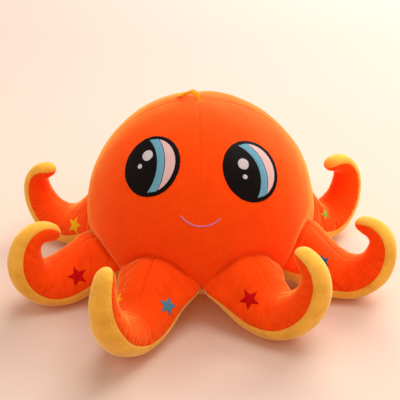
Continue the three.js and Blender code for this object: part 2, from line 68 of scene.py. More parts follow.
ARM_SOLE = 20
ARM_SPACING = 45
ARM_CLIMB = [-12, -12.5, -8, 46, 106, 203]
ARM_WIDTH_SHARES = [1, 0.81, 0.73, 0.535, 0.38, 0.25]
ARM_TOP_SHARES = [1, 0.9, 0.5, 0.44, 0.34, 0.14]
ARM_SOLE_SHARES = [0.55, 0.91, 0.91, 0.67, 0.46, 0.46]
ROOT_SHARE = 0.15
TIP_START_SHARE = 0.95
TIP_SHARE = 0.12
SEAM_LIFT = 17.5
LIFT_END_SHARE = 0.53
CURL_SEAM_LIFT = 5
CURL_LIFT_SHARES = [0.34, 0.5, 0.72, 0.98]
ROOT_FLARE = 25
FLARE_END_SHARE = 0.41
FLARE_POWER = 1.6
CROWN_END_SHARE = 0.5
BEND_DONE_SHARE = 0.7
TWIST_START_SHARE = 0.3
PATH_STEPS = 520
# An arm is free over this share of half its eighth of the circle, and held softly over the rest
PRESS_FREE, PRESS_SOFT = 0.8, 0.2

# Place round the head in arm spacings, bend and twist in degrees, shares of curl, length and fullness, how
# late the curl starts, share of height at the root, how far along the star is and how many degrees above the
# side seam, and the colours of the front and the far star.
ARMS = {
    "front_left": (-0.5, 0.8, -26, 0.7, 1.1, 0.98, 0.94, 0.88, 0.34, 35, "blue", "gold"),
    "side_left": (-1.5, 9, -33, 1.2, 1.015, 1.05, 1.03, 0.64, 0.377, 37, "dark_red", "green"),
    "rear_left": (-2.5, -4, 0, 0.95, 0.945, 0.965, 1.1, 1.08, 0.34, 20, "gold", "red"),
    "back_left": (-3.5, 6, 5, 1, 0.975, 0.98, 1, 1, 0.35, 38, "blue", "green"),
    "back_right": (3.5, -8, -6, 0.95, 0.965, 1, 1.03, 1, 0.35, 38, "red", "gold"),
    "rear_right": (2.5, 17.5, 8, 1.015, 0.94, 0.91, 0.93, 1.25, 0.34, 37, "green", "blue"),
    "side_right": (1.5, -0.5, 24, 1, 0.955, 0.995, 1.06, 1, 0.355, 48, "deep_blue", "dark_red"),
    "front_right": (0.5, 33, 15, 0.835, 0.965, 1.045, 0.93, 0.9, 0.362, 45, "red", "deep_blue"),
}


def sine(degrees):
    return np.sin(np.radians(degrees))


def cosine(degrees):
    return np.cos(np.radians(degrees))


def ease(value, low, high):
    """0 below low, 1 above high, smooth between them."""
    share = np.clip((np.asarray(value, float) - low) / (high - low), 0, 1)
    return share * share * (3 - 2 * share)


def between(value, first, full, fade, end):
    """0 outside first and end, 1 from full to fade, smooth between them."""
    return ease(value, first, full) * (1 - ease(value, fade, end))


def bell(distance, width):
    """1 at no distance, falling off smoothly over a width."""
    return np.exp(-((distance / width) ** 2))


def unit(vector):
    return vector / np.linalg.norm(vector)


def soft_noise(points, size, seed):
    """Smooth noise of about -1 to 1 at each point, with lumps of the given size."""
    move = Vector((seed, seed * 1.7, seed * 0.3))
    return np.array([noise.noise(Vector(point) / size + move) for point in points])


# The part of a noise's range that makes a valley
CREASE_SHARE = 0.16


def creases(places, seed):
    """Narrow random valleys, 1 at their bottom, from places that are already counted in valley spacings."""
    value = np.abs([noise.noise(Vector((x, y, seed))) for x, y in places])
    return 1 - ease(value, 0.0, CREASE_SHARE)


def polar_at(height):
    """The polar angle at which the head's outline passes a height below its widest place."""
    share = (HEAD_WIDEST_HEIGHT - height) / (HEAD_WIDEST_HEIGHT + PRESSED_FLAT)
    return 90 + math.degrees(math.asin(share ** (1 / UNDER_POWER))) * UNDER_SPAN / 90


def under_radius_at(height):
    """The radius of the full curve under the head's widest place at a height."""
    drop = np.clip((HEAD_WIDEST_HEIGHT - height) / (HEAD_WIDEST_HEIGHT + PRESSED_FLAT), 0, 1)
    wide = np.sqrt(1 - drop ** (2 / UNDER_POWER)) ** UNDER_POWER
    return BASE_FLAT_RADIUS + (HEAD_RADIUS - BASE_FLAT_RADIUS) * wide


BASE_POLAR = polar_at(BASE_SEAM_HEIGHT)
BASE_SEAM_RADIUS = float(under_radius_at(BASE_SEAM_HEIGHT))
BASE_SLOPE = np.array([BASE_FLAT_RADIUS - BASE_SEAM_RADIUS, -BASE_SEAM_HEIGHT - PRESSED_FLAT])
BASE_NORMAL = np.array([-BASE_SLOPE[1], BASE_SLOPE[0]]) / np.linalg.norm(BASE_SLOPE)


# Head surface
def head_point(around, polar, offset):
    """Points of the head: around from the front, polar from the pole to the middle of the flat."""
    polar = np.asarray(polar, float)
    offset = np.broadcast_to(offset, polar.shape)
    latitude = np.clip(90 - polar, 0, 90)
    crown_out, crown_up = cosine(latitude) * HEAD_CROWN, sine(latitude) * HEAD_RADIUS
    crown_radius = HEAD_RADIUS * cosine(latitude)
    crown_height = HEAD_WIDEST_HEIGHT + HEAD_CROWN * sine(latitude)
    angle = np.clip((np.minimum(polar, BASE_POLAR) - 90) * 90 / UNDER_SPAN, 0, 90)
    out_share, down_share = np.clip(cosine(angle), 0, 1), sine(angle)
    spread, depth = HEAD_RADIUS - BASE_FLAT_RADIUS, HEAD_WIDEST_HEIGHT + PRESSED_FLAT
    under_out, under_up = out_share ** (2 - UNDER_POWER) * depth, -(down_share ** (2 - UNDER_POWER)) * spread
    under_radius = BASE_FLAT_RADIUS + spread * out_share**UNDER_POWER
    under_height = HEAD_WIDEST_HEIGHT - depth * down_share**UNDER_POWER
    size = np.hypot(under_out, under_up)
    below = np.clip((polar - BASE_POLAR) / (FLAT_POLAR - BASE_POLAR), 0, 1)
    bulge = BASE_BULGE * 4 * below * (1 - below)
    under_radius = under_radius + BASE_SLOPE[0] * below + BASE_NORMAL[0] * bulge
    under_height = under_height + BASE_SLOPE[1] * below + BASE_NORMAL[1] * bulge
    turn = ease(below, 0, BASE_EDGE_SHARE)
    under_out = under_out / size * (1 - turn) + BASE_NORMAL[0] * turn
    under_up = under_up / size * (1 - turn) + BASE_NORMAL[1] * turn
    under_radius = under_radius * np.clip((180 - polar) / (180 - FLAT_POLAR), 0, 1)
    upper = polar <= 90
    out, up = np.where(upper, crown_out, under_out), np.where(upper, crown_up, under_up)
    size = np.hypot(out, up)
    radius = np.where(upper, crown_radius, under_radius) + offset * out / size
    height = np.where(upper, crown_height, under_height) + offset * up / size
    return np.stack([radius * sine(around), -radius * cosine(around), height], axis=-1)


def head_radius_at(height):
    """The head's radius at a height above the floor."""
    height = np.asarray(height, float)
    rise = np.clip((height - HEAD_WIDEST_HEIGHT) / HEAD_CROWN, 0, 1)
    crown = HEAD_RADIUS * np.sqrt(1 - rise * rise)
    low = np.clip(1 - height / BASE_SEAM_HEIGHT, 0, 1)
    base = BASE_SEAM_RADIUS + BASE_SLOPE[0] * low + BASE_BULGE * 4 * low * (1 - low)
    under = np.where(height < BASE_SEAM_HEIGHT, base, under_radius_at(height))
    return np.where(height > HEAD_WIDEST_HEIGHT, crown, under)


# Arm surfaces
def along(table, share):
    """A value between the evenly spaced entries of a table, on a smooth curve through them."""
    table = np.asarray(table, float)
    last = len(table) - 1
    place = np.clip(np.asarray(share, float), 0, 1) * last
    index = np.minimum(np.floor(place).astype(int), last)
    part = place - index
    before, here = table[np.maximum(index - 1, 0)], table[index]
    after, later = table[np.minimum(index + 1, last)], table[np.minimum(index + 2, last)]
    start, end = (after - before) / 2, (later - here) / 2
    cubic = (2 * here - 2 * after + start + end) * part**3
    return cubic + (3 * after - 3 * here - 2 * start - end) * part**2 + start * part + here


class Arm:
    """One arm: its middle line, and its surface by share of length and angle round it."""

    def __init__(self, name, row):
        self.name = name
        place, bend, twist, curl, self.length, self.full, late, self.crown, *star = row
        self.star_share, star_above, self.front_colour, self.far_colour = star
        self.star_angle = 180 - star_above if place < 0 else star_above
        self.seed = 11.3 * (place + 5)
        around = place * ARM_SPACING
        self.outward = np.array([sine(around), -cosine(around), 0])
        self.across = np.array([cosine(around), sine(around), 0])
        shares = np.linspace(0, 1, PATH_STEPS + 1)
        slope = along(ARM_CLIMB, shares**late)
        slope = np.where(slope > 0, slope * curl, slope)
        heading = around + bend * ease(shares, 0, BEND_DONE_SHARE)
        flat = np.stack([sine(heading), -cosine(heading), 0 * heading], axis=-1)
        up_axis = np.array([0, 0, 1.0])
        forward = flat * cosine(slope)[:, None] + up_axis * sine(slope)[:, None]
        up = -flat * sine(slope)[:, None] + up_axis * cosine(slope)[:, None]
        side = np.cross(forward, up)
        turn = twist * np.clip((shares - TWIST_START_SHARE) / (1 - TWIST_START_SHARE), 0, 1)
        self.up = up * cosine(turn)[:, None] + side * sine(turn)[:, None]
        self.side = side * cosine(turn)[:, None] - up * sine(turn)[:, None]
        step = ARM_LENGTH * self.length / PATH_STEPS
        start = self.outward * (HEAD_RADIUS - ARM_ROOT_DEPTH)
        self.centre = start + np.concatenate([[np.zeros(3)], np.cumsum(forward[:-1] * step, axis=0)])
        self.centre += self.up * self.lift(shares)[:, None]
        sole = self.centre[:, 2] - self.section(shares)[2]
        self.centre[:, 2] -= sole[shares >= ROOT_SHARE].min() + PRESSED_FLAT

    def lift(self, share):
        """How far the side seams rise towards the root, where they meet the base seam."""
        root = SEAM_LIFT * (1 - ease(share, ROOT_SHARE, LIFT_END_SHARE))
        start, full, fade, end = CURL_LIFT_SHARES
        return root + CURL_SEAM_LIFT * ease(share, start, full) * (1 - ease(share, fade, end))

    def section(self, share):
        """Half the width, and the reach above and below the middle line."""
        past = np.clip((share - TIP_START_SHARE) / (1 - TIP_START_SHARE), 0, 1)
        size = self.full * np.sqrt(np.maximum(1 - past * past, TIP_SHARE**2))
        width = ARM_HALF_WIDTH * along(ARM_WIDTH_SHARES, share) * size
        crown = 1 + (self.crown - 1) * (1 - ease(share, ROOT_SHARE, CROWN_END_SHARE))
        top = ARM_TOP * along(ARM_TOP_SHARES, share) * size * crown
        sole = ARM_SOLE * along(ARM_SOLE_SHARES, share) * size
        return width, top - self.lift(share), sole + self.lift(share)

    def spot(self, share):
        """The middle line, side and up directions at shares between the steps of the path."""
        place = np.clip(share, 0, 1) * PATH_STEPS
        index = np.minimum(place.astype(int), PATH_STEPS - 1)
        part = (place - index)[:, None]
        return [row[index] * (1 - part) + row[index + 1] * part for row in (self.centre, self.side, self.up)]

    def point(self, share, angle, offset=0.0):
        """Points of the surface: 0 and 180 degrees are the side seams, 90 is the ridge."""
        centre, side, up = self.spot(share)
        width, top, sole = self.section(share)
        rise = np.where(sine(angle) > 0, top, sole)
        wide, high = width * cosine(angle), rise * sine(angle)
        out = np.stack([rise * cosine(angle), width * sine(angle)])
        out = out / np.maximum(np.linalg.norm(out, axis=0), 1e-9)
        wide, high = wide + offset * out[0], high + offset * out[1]
        left = np.maximum(1 - (share - ROOT_SHARE) / (FLARE_END_SHARE - ROOT_SHARE), 0)
        flare = ROOT_FLARE * left**2 * (1 - np.abs(sine(angle))) ** FLARE_POWER
        wide = wide + flare * np.sign(cosine(angle))
        return self.pressed(centre + side * wide[:, None] + up * high[:, None])

    def pressed(self, points):
        """Keeps points in the arm's own eighth of the circle and above the floor, softly."""
        reach = points @ self.outward
        lateral = points @ self.across
        limit = np.maximum(reach * math.tan(math.radians(ARM_SPACING / 2)) - SEAM_GAP, 1.0)
        past = np.maximum(np.abs(lateral) - PRESS_FREE * limit, 0)
        held = PRESS_FREE * limit + PRESS_SOFT * limit * (1 - np.exp(-past / (PRESS_SOFT * limit)))
        held = np.where(past > 0, held, np.abs(lateral))
        points = points + self.across * ((held - np.abs(lateral)) * np.sign(lateral))[:, None]
        points[:, 2] = np.maximum(points[:, 2], 0)
        return points


arms = [Arm(name, row) for name, row in ARMS.items()]


# Making pieces: corners closer than this are welded into one
WELD = 0.002


def add_object(name, data):
    """Puts new data into the scene as an object."""
    made = bpy.data.objects.new(name, data)
    bpy.context.scene.collection.objects.link(made)
    return made


def as_mesh(name, sheet):
    mesh = bpy.data.meshes.new(name)
    sheet.to_mesh(mesh)
    sheet.free()
    return mesh


def weld(sheet, distance=WELD):
    bmesh.ops.remove_doubles(sheet, verts=sheet.verts, dist=distance)


def flat_grid(columns, rows):
    """A flat grid, and the shares across and along of its corners."""
    sheet = bmesh.new()
    bmesh.ops.create_grid(sheet, x_segments=columns, y_segments=rows, size=0.5)
    return sheet, np.array([(corner.co.x + 0.5, corner.co.y + 0.5) for corner in sheet.verts])


def grid_bmesh(columns, rows, place):
    """A grid sheet whose corners are put in place by their shares across and along, in millimetres."""
    sheet, shares = flat_grid(columns, rows)
    weave = sheet.loops.layers.uv.new("weave")
    points, marks, threads = place(shares[:, 0], shares[:, 1])
    # The seam layer holds how dark the cloth is painted: painted shade in seams, creases and round the arms'
    # roots.
    seam_shade_layer = sheet.verts.layers.float.new("seam")
    for corner, point, mark in zip(sheet.verts, points, marks):
        corner.co = Vector(point)
        corner[seam_shade_layer] = mark
    for face in sheet.faces:
        for loop in face.loops:
            loop[weave].uv = threads[loop.vert.index]
    return sheet


def finish_piece(name, sheet, materials, body, slot_of=None, outward=None):
    """Turns a bmesh in millimetres into a smooth-shaded object in metres that rides on a body.

    An open sheet faces along outward, which gives a direction for a point. A closed one has no outward.
    """
    weld(sheet)
    bmesh.ops.dissolve_degenerate(sheet, edges=sheet.edges, dist=WELD / 2)
    if outward is None:
        bmesh.ops.recalc_face_normals(sheet, faces=sheet.faces)
    sheet.normal_update()
    if outward is not None:
        lean = sum(face.normal.dot(Vector(outward(face.calc_center_median()))) for face in sheet.faces)
        if lean < 0:
            bmesh.ops.reverse_faces(sheet, faces=sheet.faces)
    for face in sheet.faces:
        face.smooth = True
        if slot_of:
            face.material_index = slot_of(face)
    bmesh.ops.scale(sheet, vec=(MM, MM, MM), verts=sheet.verts)
    piece = add_object(name, as_mesh(name, sheet))
    for material in materials:
        piece.data.materials.append(material)
    if body:
        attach(piece, body)
    return piece


def surface_tree(piece):
    """A search tree over a finished piece, for laying other pieces on it, in metres."""
    mesh = piece.data
    corners = [vertex.co.copy() for vertex in mesh.vertices]
    return BVHTree.FromPolygons(corners, [tuple(face.vertices) for face in mesh.polygons])


# Colours and materials
def linear(code):
    """A hexadecimal sRGB colour as the linear values that the shader nodes take."""
    values = [int(code[i : i + 2], 16) / 255 for i in (1, 3, 5)]
    return [*(v / 12.92 if v <= 0.04045 else ((v + 0.055) / 1.055) ** 2.4 for v in values), 1]


def wire(tree, node, values, links):
    """Sets a node's input values and links other nodes' outputs to it."""
    for key, value in values.items():
        node.inputs[key].default_value = value
    for key, output in links.items():
        tree.links.new(output, node.inputs[key])


def add_node(tree, kind, values=None, links=None, **settings):
    """Adds one shader node, sets its fields and input values, and links other nodes' outputs to it."""
    made = tree.nodes.new("ShaderNode" + kind)
    for field, value in settings.items():
        setattr(made, field, value)
    wire(tree, made, values or {}, links or {})
    return made


def grain(tree, place, size, detail, roughness):
    """Noise with lumps of a size in millimetres."""
    values = {"Scale": 1 / (size * MM), "Detail": detail, "Roughness": roughness}
    return add_node(tree, "TexNoise", values, {"Vector": place}).outputs["Fac"]


def remap(tree, value, low, high, top=1.0):
    """A value from low to high as one from 0 to top."""
    values = {"From Min": low, "From Max": high, "To Max": top}
    return add_node(tree, "MapRange", values, {"Value": value}).outputs["Result"]


def scaled(tree, value, factor):
    return add_node(tree, "Math", {1: factor}, {0: value}, operation="MULTIPLY").outputs["Value"]


def mix(tree, share, first, second):
    """A colour between two, each of them a hexadecimal code or another node's output."""
    values, links = {}, {"Factor": share}
    for key, colour in ((6, first), (7, second)):
        if isinstance(colour, str):
            values[key] = linear(colour)
        else:
            links[key] = colour
    return add_node(tree, "Mix", values, links, data_type="RGBA").outputs[2]


def bump(tree, height, strength, depth, **links):
    """A bump of a depth in millimetres."""
    values = {"Strength": strength, "Distance": depth * MM}
    return add_node(tree, "Bump", values, {"Height": height, **links}).outputs["Normal"]


def new_material(name):
    material = bpy.data.materials.new(name)
    material.use_nodes = True
    shader = material.node_tree.nodes["Principled BSDF"]
    return material, material.node_tree, shader


# Sizes in the pile, in millimetres
STROKED_PATCH, TUFT, FIBRE = 26, 1.6, 0.7


def velvet(name, root, deep, plain, lit, tip):
    """Short-pile crystal velvet: brushed patches, mottled pile, painted seam shade, a soft bump, a sheen and
    a painted pale rim.
    """
    material, tree, shader = new_material(name)
    place = add_node(tree, "TexCoord").outputs["Object"]
    lay = add_node(tree, "Mapping", {"Scale": (1, 1, 0.35)}, {"Vector": place}).outputs["Vector"]
    # Patches a few centimetres wide where the pile has been stroked one way or the other.
    patch = remap(tree, grain(tree, place, STROKED_PATCH, 3.0, 0.55), 0.25, 0.6)
    # Tufts of pile, under two millimetres long, that give the cloth its slightly mottled grain.
    tuft = grain(tree, lay, TUFT, 2.0, 0.6)
    pile = mix(tree, scaled(tree, remap(tree, tuft, 0.3, 0.72), 0.3), mix(tree, patch, deep, plain), lit)
    # The seams, creases and the arms' roots are painted darker and deeper in colour: painted shade in their
    # hollows, where in the seams the pile also lies flat.
    seam = add_node(tree, "Attribute", attribute_name="seam", attribute_type="GEOMETRY").outputs["Fac"]
    seam_shaded = mix(tree, scaled(tree, seam, 0.6), pile, root)
    # A pale rim of the tip colour is painted in where the surface is seen edge-on: a painted highlight for
    # the pile's sheen.
    painted_rim_share = add_node(tree, "LayerWeight", {"Blend": 0.22}).outputs["Facing"]
    colour = mix(tree, remap(tree, painted_rim_share, 0.4, 1.0, 0.85), seam_shaded, tip)
    # Single fibres roughen the surface, and the tufts roughen it more coarsely.
    fibres = bump(tree, grain(tree, place, FIBRE, 2.0, 0.7), 0.35, 0.5)
    tufts = bump(tree, tuft, 0.3, 0.6, Normal=fibres)
    # The cloth is dull from the front, and its sheen is pale and wide.
    look = {"Roughness": 0.88, "Specular IOR Level": 0.08, "Sheen Weight": 0.9, "Sheen Roughness": 0.4}
    wire(tree, shader, {**look, "Sheen Tint": linear(tip)}, {"Base Color": colour, "Normal": tufts})
    return material


# A wave texture has this many bands in a unit of its scale
BANDS_PER_UNIT = 3.2


def embroidery(name, thread, shade, direction, pitch=0.8):
    """Satin stitch in rayon thread: parallel threads with a soft gloss and painted shade between them, in
    rows whose ends are staggered.
    """
    material, tree, shader = new_material(name)
    weave = add_node(tree, "UVMap", uv_map="weave").outputs["UV"]
    rotation = {"Rotation": (0, 0, math.radians(direction))}
    turned = add_node(tree, "Mapping", rotation, {"Vector": weave}).outputs["Vector"]
    # Each thread is a narrow band, a little uneven, and the grooves between threads are painted in the shade
    # colour as painted shade.
    bands = {"Scale": 1 / pitch / BANDS_PER_UNIT, "Distortion": 0.6, "Detail": 1.0, "Detail Scale": 0.6}
    threads = add_node(tree, "TexWave", bands, {"Vector": turned}, wave_type="BANDS", bands_direction="Y")
    # The rows of stitches are painted lighter and darker along their length: painted light for how they
    # catch it.
    stretched = add_node(tree, "Mapping", {"Scale": (0.18, 1.4, 1)}, {"Vector": turned}).outputs["Vector"]
    rows = add_node(tree, "TexNoise", {"Scale": 1.0, "Detail": 2.0}, {"Vector": stretched})
    links = {0: threads.outputs["Fac"], 1: rows.outputs["Fac"]}
    height = add_node(tree, "Math", {}, links, operation="MULTIPLY").outputs["Value"]
    # Painted shade and light: low places between threads and along rows take the shade colour.
    colour = mix(tree, remap(tree, height, 0.05, 0.5), shade, thread)
    outputs = {"Base Color": colour, "Normal": bump(tree, height, 0.6, 0.25)}
    wire(tree, shader, {"Roughness": 0.6, "Specular IOR Level": 0.08}, outputs)
    return material


# Each velvet: painted shade for seams and creases, brushed patches deep and plain, lighter tufts, and the
# tip colour of its sheen and its painted rim.
ORANGE = velvet("crystal_velvet_orange", "#C42A00", "#F83E00", "#FF4200", "#FF6E18", "#FFC060")
YELLOW = velvet("crystal_velvet_yellow", "#C87C10", "#E2981C", "#F8B436", "#FFDA80", "#FFE2A0")
CORD_THREAD = embroidery("twisted_satin_cord_amber", "#FFC21E", "#F29A00", 30, pitch=0.5)
# The colour of each thread, the painted shade between its threads, and the direction of its stitches
THREADS = {
    colour: embroidery("rayon_satin_stitch_" + colour, *look)
    for colour, look in {
        "black": ("#120908", "#030202", 62),
        "eye_blue": ("#80BED6", "#4C8AA8", 20),
        "eye_pink": ("#F0D0D0", "#D0A2A4", 20),
        "white": ("#E8E2E8", "#B0A6AE", 10),
        "mauve": ("#E88CA6", "#BC6480", 60),
        "blue": ("#5A9AB0", "#38708A", 35),
        "deep_blue": ("#356A8C", "#1E4660", 35),
        "red": ("#D80006", "#AC0000", 35),
        "dark_red": ("#DC0002", "#A80000", 35),
        "gold": ("#FFCC20", "#DCA00A", 35),
        "green": ("#B4D456", "#83A234", 35),
    }.items()
}

# Head: one skin from the pole to the base seam and a yellow base below it. Depths, then sizes or widths, of
# what shows in its cloth:
SEAM_GROOVE, SEAM_HALF_WIDTH = 1.0, 1.7
PILLOW_PULL, PILLOW_WIDTH = 0.8, 12
PUCKER, PUCKER_SIZE, PUCKER_REACH = 0.35, 4.5, 7
LUMP, LUMP_SIZE = 0.8, 46
SMALL_LUMP, SMALL_LUMP_SIZE = 0.4, 17
CROWN_DIMPLE, CROWN_DIMPLE_WIDTH = 0.8, 6
ROOT_PINCH, ROOT_PINCH_WIDTH = 2.6, 6.5
HEAD_NAP = 0.9
PANEL_GROOVE, BASE_GROOVE = 0.55, 1.3
# Painted shade: how dark the panel seams are and half their width, half the base seam's width, and how dark
# the cloth is where the arms' roots pinch the head in
PANEL_SEAM_MARK, PANEL_SEAM_MARK_WIDTH = 0.4, 0.9
BASE_SEAM_MARK_WIDTH = 1.8
PINCH_SHADE = 0.6
# Polar angles between which panel seams sink into the pile by a share, and seams and lumps end on the base
SEAM_SINKS, SEAM_SUNK = (28, 60), 0.82
SEAMS_END, LUMPS_END = (150, FLAT_POLAR), (140, 160)
SEAM_FULL_RADIUS = 40
BASE_NAP_LOST, BASE_EDGE_DEGREES = 0.8, 8
MM_PER_DEGREE_ABOVE, MM_PER_DEGREE_BELOW = 1.65, 1.9
HEAD_COLUMNS, HEAD_ROWS, BASE_ROWS = 288, 170, 60
HEAD_CROWDING = 0.8


def crowded(share, pull):
    """Moves evenly spaced shares of 0 to 1 closer to both ends."""
    return share - pull * np.sin(2 * np.pi * share) / (2 * np.pi)


def groove(distance):
    """How far a seam pulls the cloth in at a distance from it: a narrow groove in a wide shallow dip."""
    return SEAM_GROOVE * bell(distance, SEAM_HALF_WIDTH) + PILLOW_PULL * bell(distance, PILLOW_WIDTH)


# Where the roots of the arms are looked for: below a height, past a distance and up to a share of an arm
PINCH_TOP, PINCH_REACH, PINCH_END_SHARE, PINCH_STEPS = 115, 70, 0.36, 70


def root_pinch(points):
    """How far the seams round the arms' roots pull the head's cloth in."""
    pull = np.zeros(len(points))
    low = np.where(points[:, 2] < PINCH_TOP)[0]
    for arm in arms:
        near = low[points[low] @ arm.outward > PINCH_REACH]
        shares = np.linspace(ROOT_SHARE, PINCH_END_SHARE, PINCH_STEPS)
        centre, side, up = arm.spot(shares)
        forward = np.cross(up, side)
        apart = points[near][:, None] - centre[None]
        step = np.abs((apart * forward[None]).sum(-1)).argmin(axis=1)
        rest = apart[np.arange(len(near)), step]
        wide, high = (rest * side[step]).sum(-1), (rest * up[step]).sum(-1)
        width, top, sole = (value[step] for value in arm.section(shares))
        tall = np.where(high > 0, top, sole)
        ratio = np.hypot(wide / width, high / tall)
        distance = np.abs(ratio - 1) * np.hypot(wide, high) / np.maximum(ratio, 0.05)
        pull[near] = np.maximum(pull[near], bell(distance, ROOT_PINCH_WIDTH))
    return pull


def head_place(around, polar):
    """Points of the head's and base's skins, and how dark the cloth is painted there: painted shade in the
    seams and where the arms' roots pinch it in.
    """
    plain = head_point(around, polar, 0)
    radius = np.hypot(plain[:, 0], plain[:, 1])
    off_seam = np.abs((around + 45) % 90 - 45)
    distance = radius * np.radians(off_seam)
    below = np.where(polar < 90, 1.0, 1 - ease(polar, *SEAMS_END))
    fade = 1 - SEAM_SUNK * ease(polar, *SEAM_SINKS)
    pull = PANEL_GROOVE * groove(distance) * below * fade * ease(radius, 0, SEAM_FULL_RADIUS)
    per_degree = np.where(polar < BASE_POLAR, MM_PER_DEGREE_ABOVE, MM_PER_DEGREE_BELOW)
    to_base = np.abs(polar - BASE_POLAR) * per_degree
    pull = np.maximum(pull, BASE_GROOVE * groove(to_base))
    pucker = soft_noise(plain * [0, 0, 1], PUCKER_SIZE, 3.0)
    pull = pull + PUCKER * pucker * np.exp(-distance / PUCKER_REACH) * below
    lumps = LUMP * soft_noise(plain, LUMP_SIZE, 7.0) + SMALL_LUMP * soft_noise(plain, SMALL_LUMP_SIZE, 2.0)
    dimple = CROWN_DIMPLE * bell(radius, CROWN_DIMPLE_WIDTH) * (polar < 90)
    pinch = root_pinch(plain)
    flat = 1 - ease(polar, *LUMPS_END)
    below = below * (1 - BASE_NAP_LOST * ease(polar, BASE_POLAR, BASE_POLAR + BASE_EDGE_DEGREES))
    offset = HEAD_NAP * below - pull + lumps * flat - dimple - ROOT_PINCH * pinch
    points = head_point(around, polar, offset)
    points[:, 2] = np.maximum(points[:, 2], 0)
    # Painted shade along the panel and base seams and round the arms' roots.
    panel_seam = PANEL_SEAM_MARK * fade * bell(distance, PANEL_SEAM_MARK_WIDTH) * below
    seam = np.maximum(panel_seam, bell(to_base, BASE_SEAM_MARK_WIDTH))
    return points, np.maximum(seam, PINCH_SHADE * pinch**3)


def head_skin(name, first_polar, last_polar, rows, material):
    """The skin of the head or the base between two polar angles."""

    def place(across, down):
        quarter = np.floor(np.minimum(across * 4, 3.999))
        around = 90 * (quarter + crowded(across * 4 - quarter, HEAD_CROWDING))
        polar = first_polar + (last_polar - first_polar) * down
        points, seam = head_place(around, polar)
        return points, seam, np.stack([around, polar], axis=-1)

    def outward(point):
        return Vector(point) - Vector((0, 0, HEAD_WIDEST_HEIGHT))

    return finish_piece(name, grid_bmesh(HEAD_COLUMNS, rows, place), [material], "body", outward=outward)


head = head_skin("head_cloth", 0.0, BASE_POLAR, HEAD_ROWS, ORANGE)
base = head_skin("base_cloth", BASE_POLAR, 180.0, BASE_ROWS, YELLOW)
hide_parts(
    "head_front_right_panel", "head_back_right_panel", "head_back_left_panel", "head_front_left_panel",
    "head_filling",
)
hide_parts("base_panel")
head_tree = surface_tree(head)

# Arms: a ridge seam on top, a seam along each side, the sole below. Depths, then spacings, sizes or widths,
# of what shows in their cloth:
RIDGE_GROOVE, RIDGE_GROOVE_LOST, SIDE_GROOVE = 0.9, 0.6, 0.6
PUCKER_DEPTH, PUCKER_SPACING, PUCKER_WIDTH = 0.5, 4.2, 5
GATHER_DEPTH, GATHER_SPACING, GATHER_WANDER, GATHER_WIDTH = 1.1, 8.5, 30, 34
GATHER_OVER_TOP = 0.3
FOLD_DEPTH, FOLD_SPACING, FOLD_SLANT, FOLD_LENGTH = 1.3, 15, 140, 75
ROOT_CREASE, ROOT_CREASE_SPACING, ROOT_CREASE_LENGTH, ROOT_CREASE_REACH = 0.9, 10, 60, 15
ROOT_TUCK, ROOT_TUCK_WIDTH, ROOT_TUCK_RISE = 3.2, 12, (0.05, 0.45)
TIP_CALM, TIP_CALMS = 0.6, (0.9, 1.0)
ARM_LUMP, ARM_LUMP_SIZE = 0.9, 24
ARM_NAP = 1.4
GIRTH_RADIUS = 42
# Relief gets finer on an arm that is thinner than this half width, down to a share
FULL_RELIEF_WIDTH, FINEST = 22, 0.35
# Shares of an arm's length where the ridge seam fades, and where gathers and folds start and end
RIDGE_FADES = (0.25, 0.42)
GATHERS = (0.31, 0.42, 0.8, 0.94)
FOLDS = (0.14, 0.22, 0.5, 0.62)
# Degrees off the side seams between which folds fade
FOLDS_FADE = (45, 88)
# How dark each seam is painted, as painted shade in its groove, and half its width; then the painted shade
# round the root and in the gathers and folds
SIDE_MARK, SIDE_MARK_WIDTH = 0.4, 1.2
RIDGE_MARK, RIDGE_MARK_WIDTH, RIDGE_MARK_LOST = 0.5, 1.1, 0.75
ROOT_SHADE, ROOT_SHADE_WIDTH, ROOT_SHADE_RISE = 0.7, 3.5, (0.0, 0.3)
CREASE_SHADE = 0.22
ARM_COLUMNS, ARM_ROWS = 96, 190
ARM_CROWDING, TIP_CROWDING = 0.72, 1.4


def arm_angles(across):
    """Angles round an arm for shares across its grid: closer together at the three seams."""
    piece = np.minimum(across * 3, 2.999).astype(int)
    part = crowded(across * 3 - piece, ARM_CROWDING)
    return np.choose(piece, [0, 90, 180]) + part * np.choose(piece, [90, 90, 180])


# The cloth simulation: its grid, frames, the furthest move that counts, and how much wide swelling is kept
SIM_COLUMNS, SIM_ROWS = 72, 96
SIM_FRAMES = 20
SIM_CAP = 5
SWELLING_KEPT = 0.3
SIM_WELD = 0.00001
# Rows that are held at each end
HELD_AT_ROOT, HELD_AT_TIP = 3, 8
# Passes of smoothing: to take off noise, and to find the wide swelling
NOISE_PASSES, SWELLING_PASSES = 1, 40
# Shares of an arm's length where there is cloth to spare
SPARE_IN_CURL, SPARE_AT_ROOT = (0.36, 0.52, 0.88, 0.96), (0.26, 0.4)
CLOTH = {
    "quality": 6,
    "mass": 0.3,
    "tension_stiffness": 15,
    "compression_stiffness": 15,
    "shear_stiffness": 5,
    "bending_stiffness": 0.3,
    "vertex_group_mass": "held",
    "vertex_group_shrink": "spare",
    "shrink_min": 0.0,
    "shrink_max": -0.16,
    "use_pressure": True,
    "uniform_pressure_force": 4,
}


def share_at(along_share):
    """Grid rows lie closer together towards the tip of an arm."""
    return ROOT_SHARE + (1 - ROOT_SHARE) * (1 - (1 - along_share) ** TIP_CROWDING)


def fullness(share, angle):
    """How much cloth there is to spare: most over the curl's inner side, some above the root."""
    upper = np.clip(sine(angle), 0, 1)
    curl = between(share, *SPARE_IN_CURL) * upper**0.5
    root = (1 - ease(share, *SPARE_AT_ROOT)) * upper**0.5
    return np.clip(0.25 + 0.75 * curl + 0.35 * root, 0, 1)


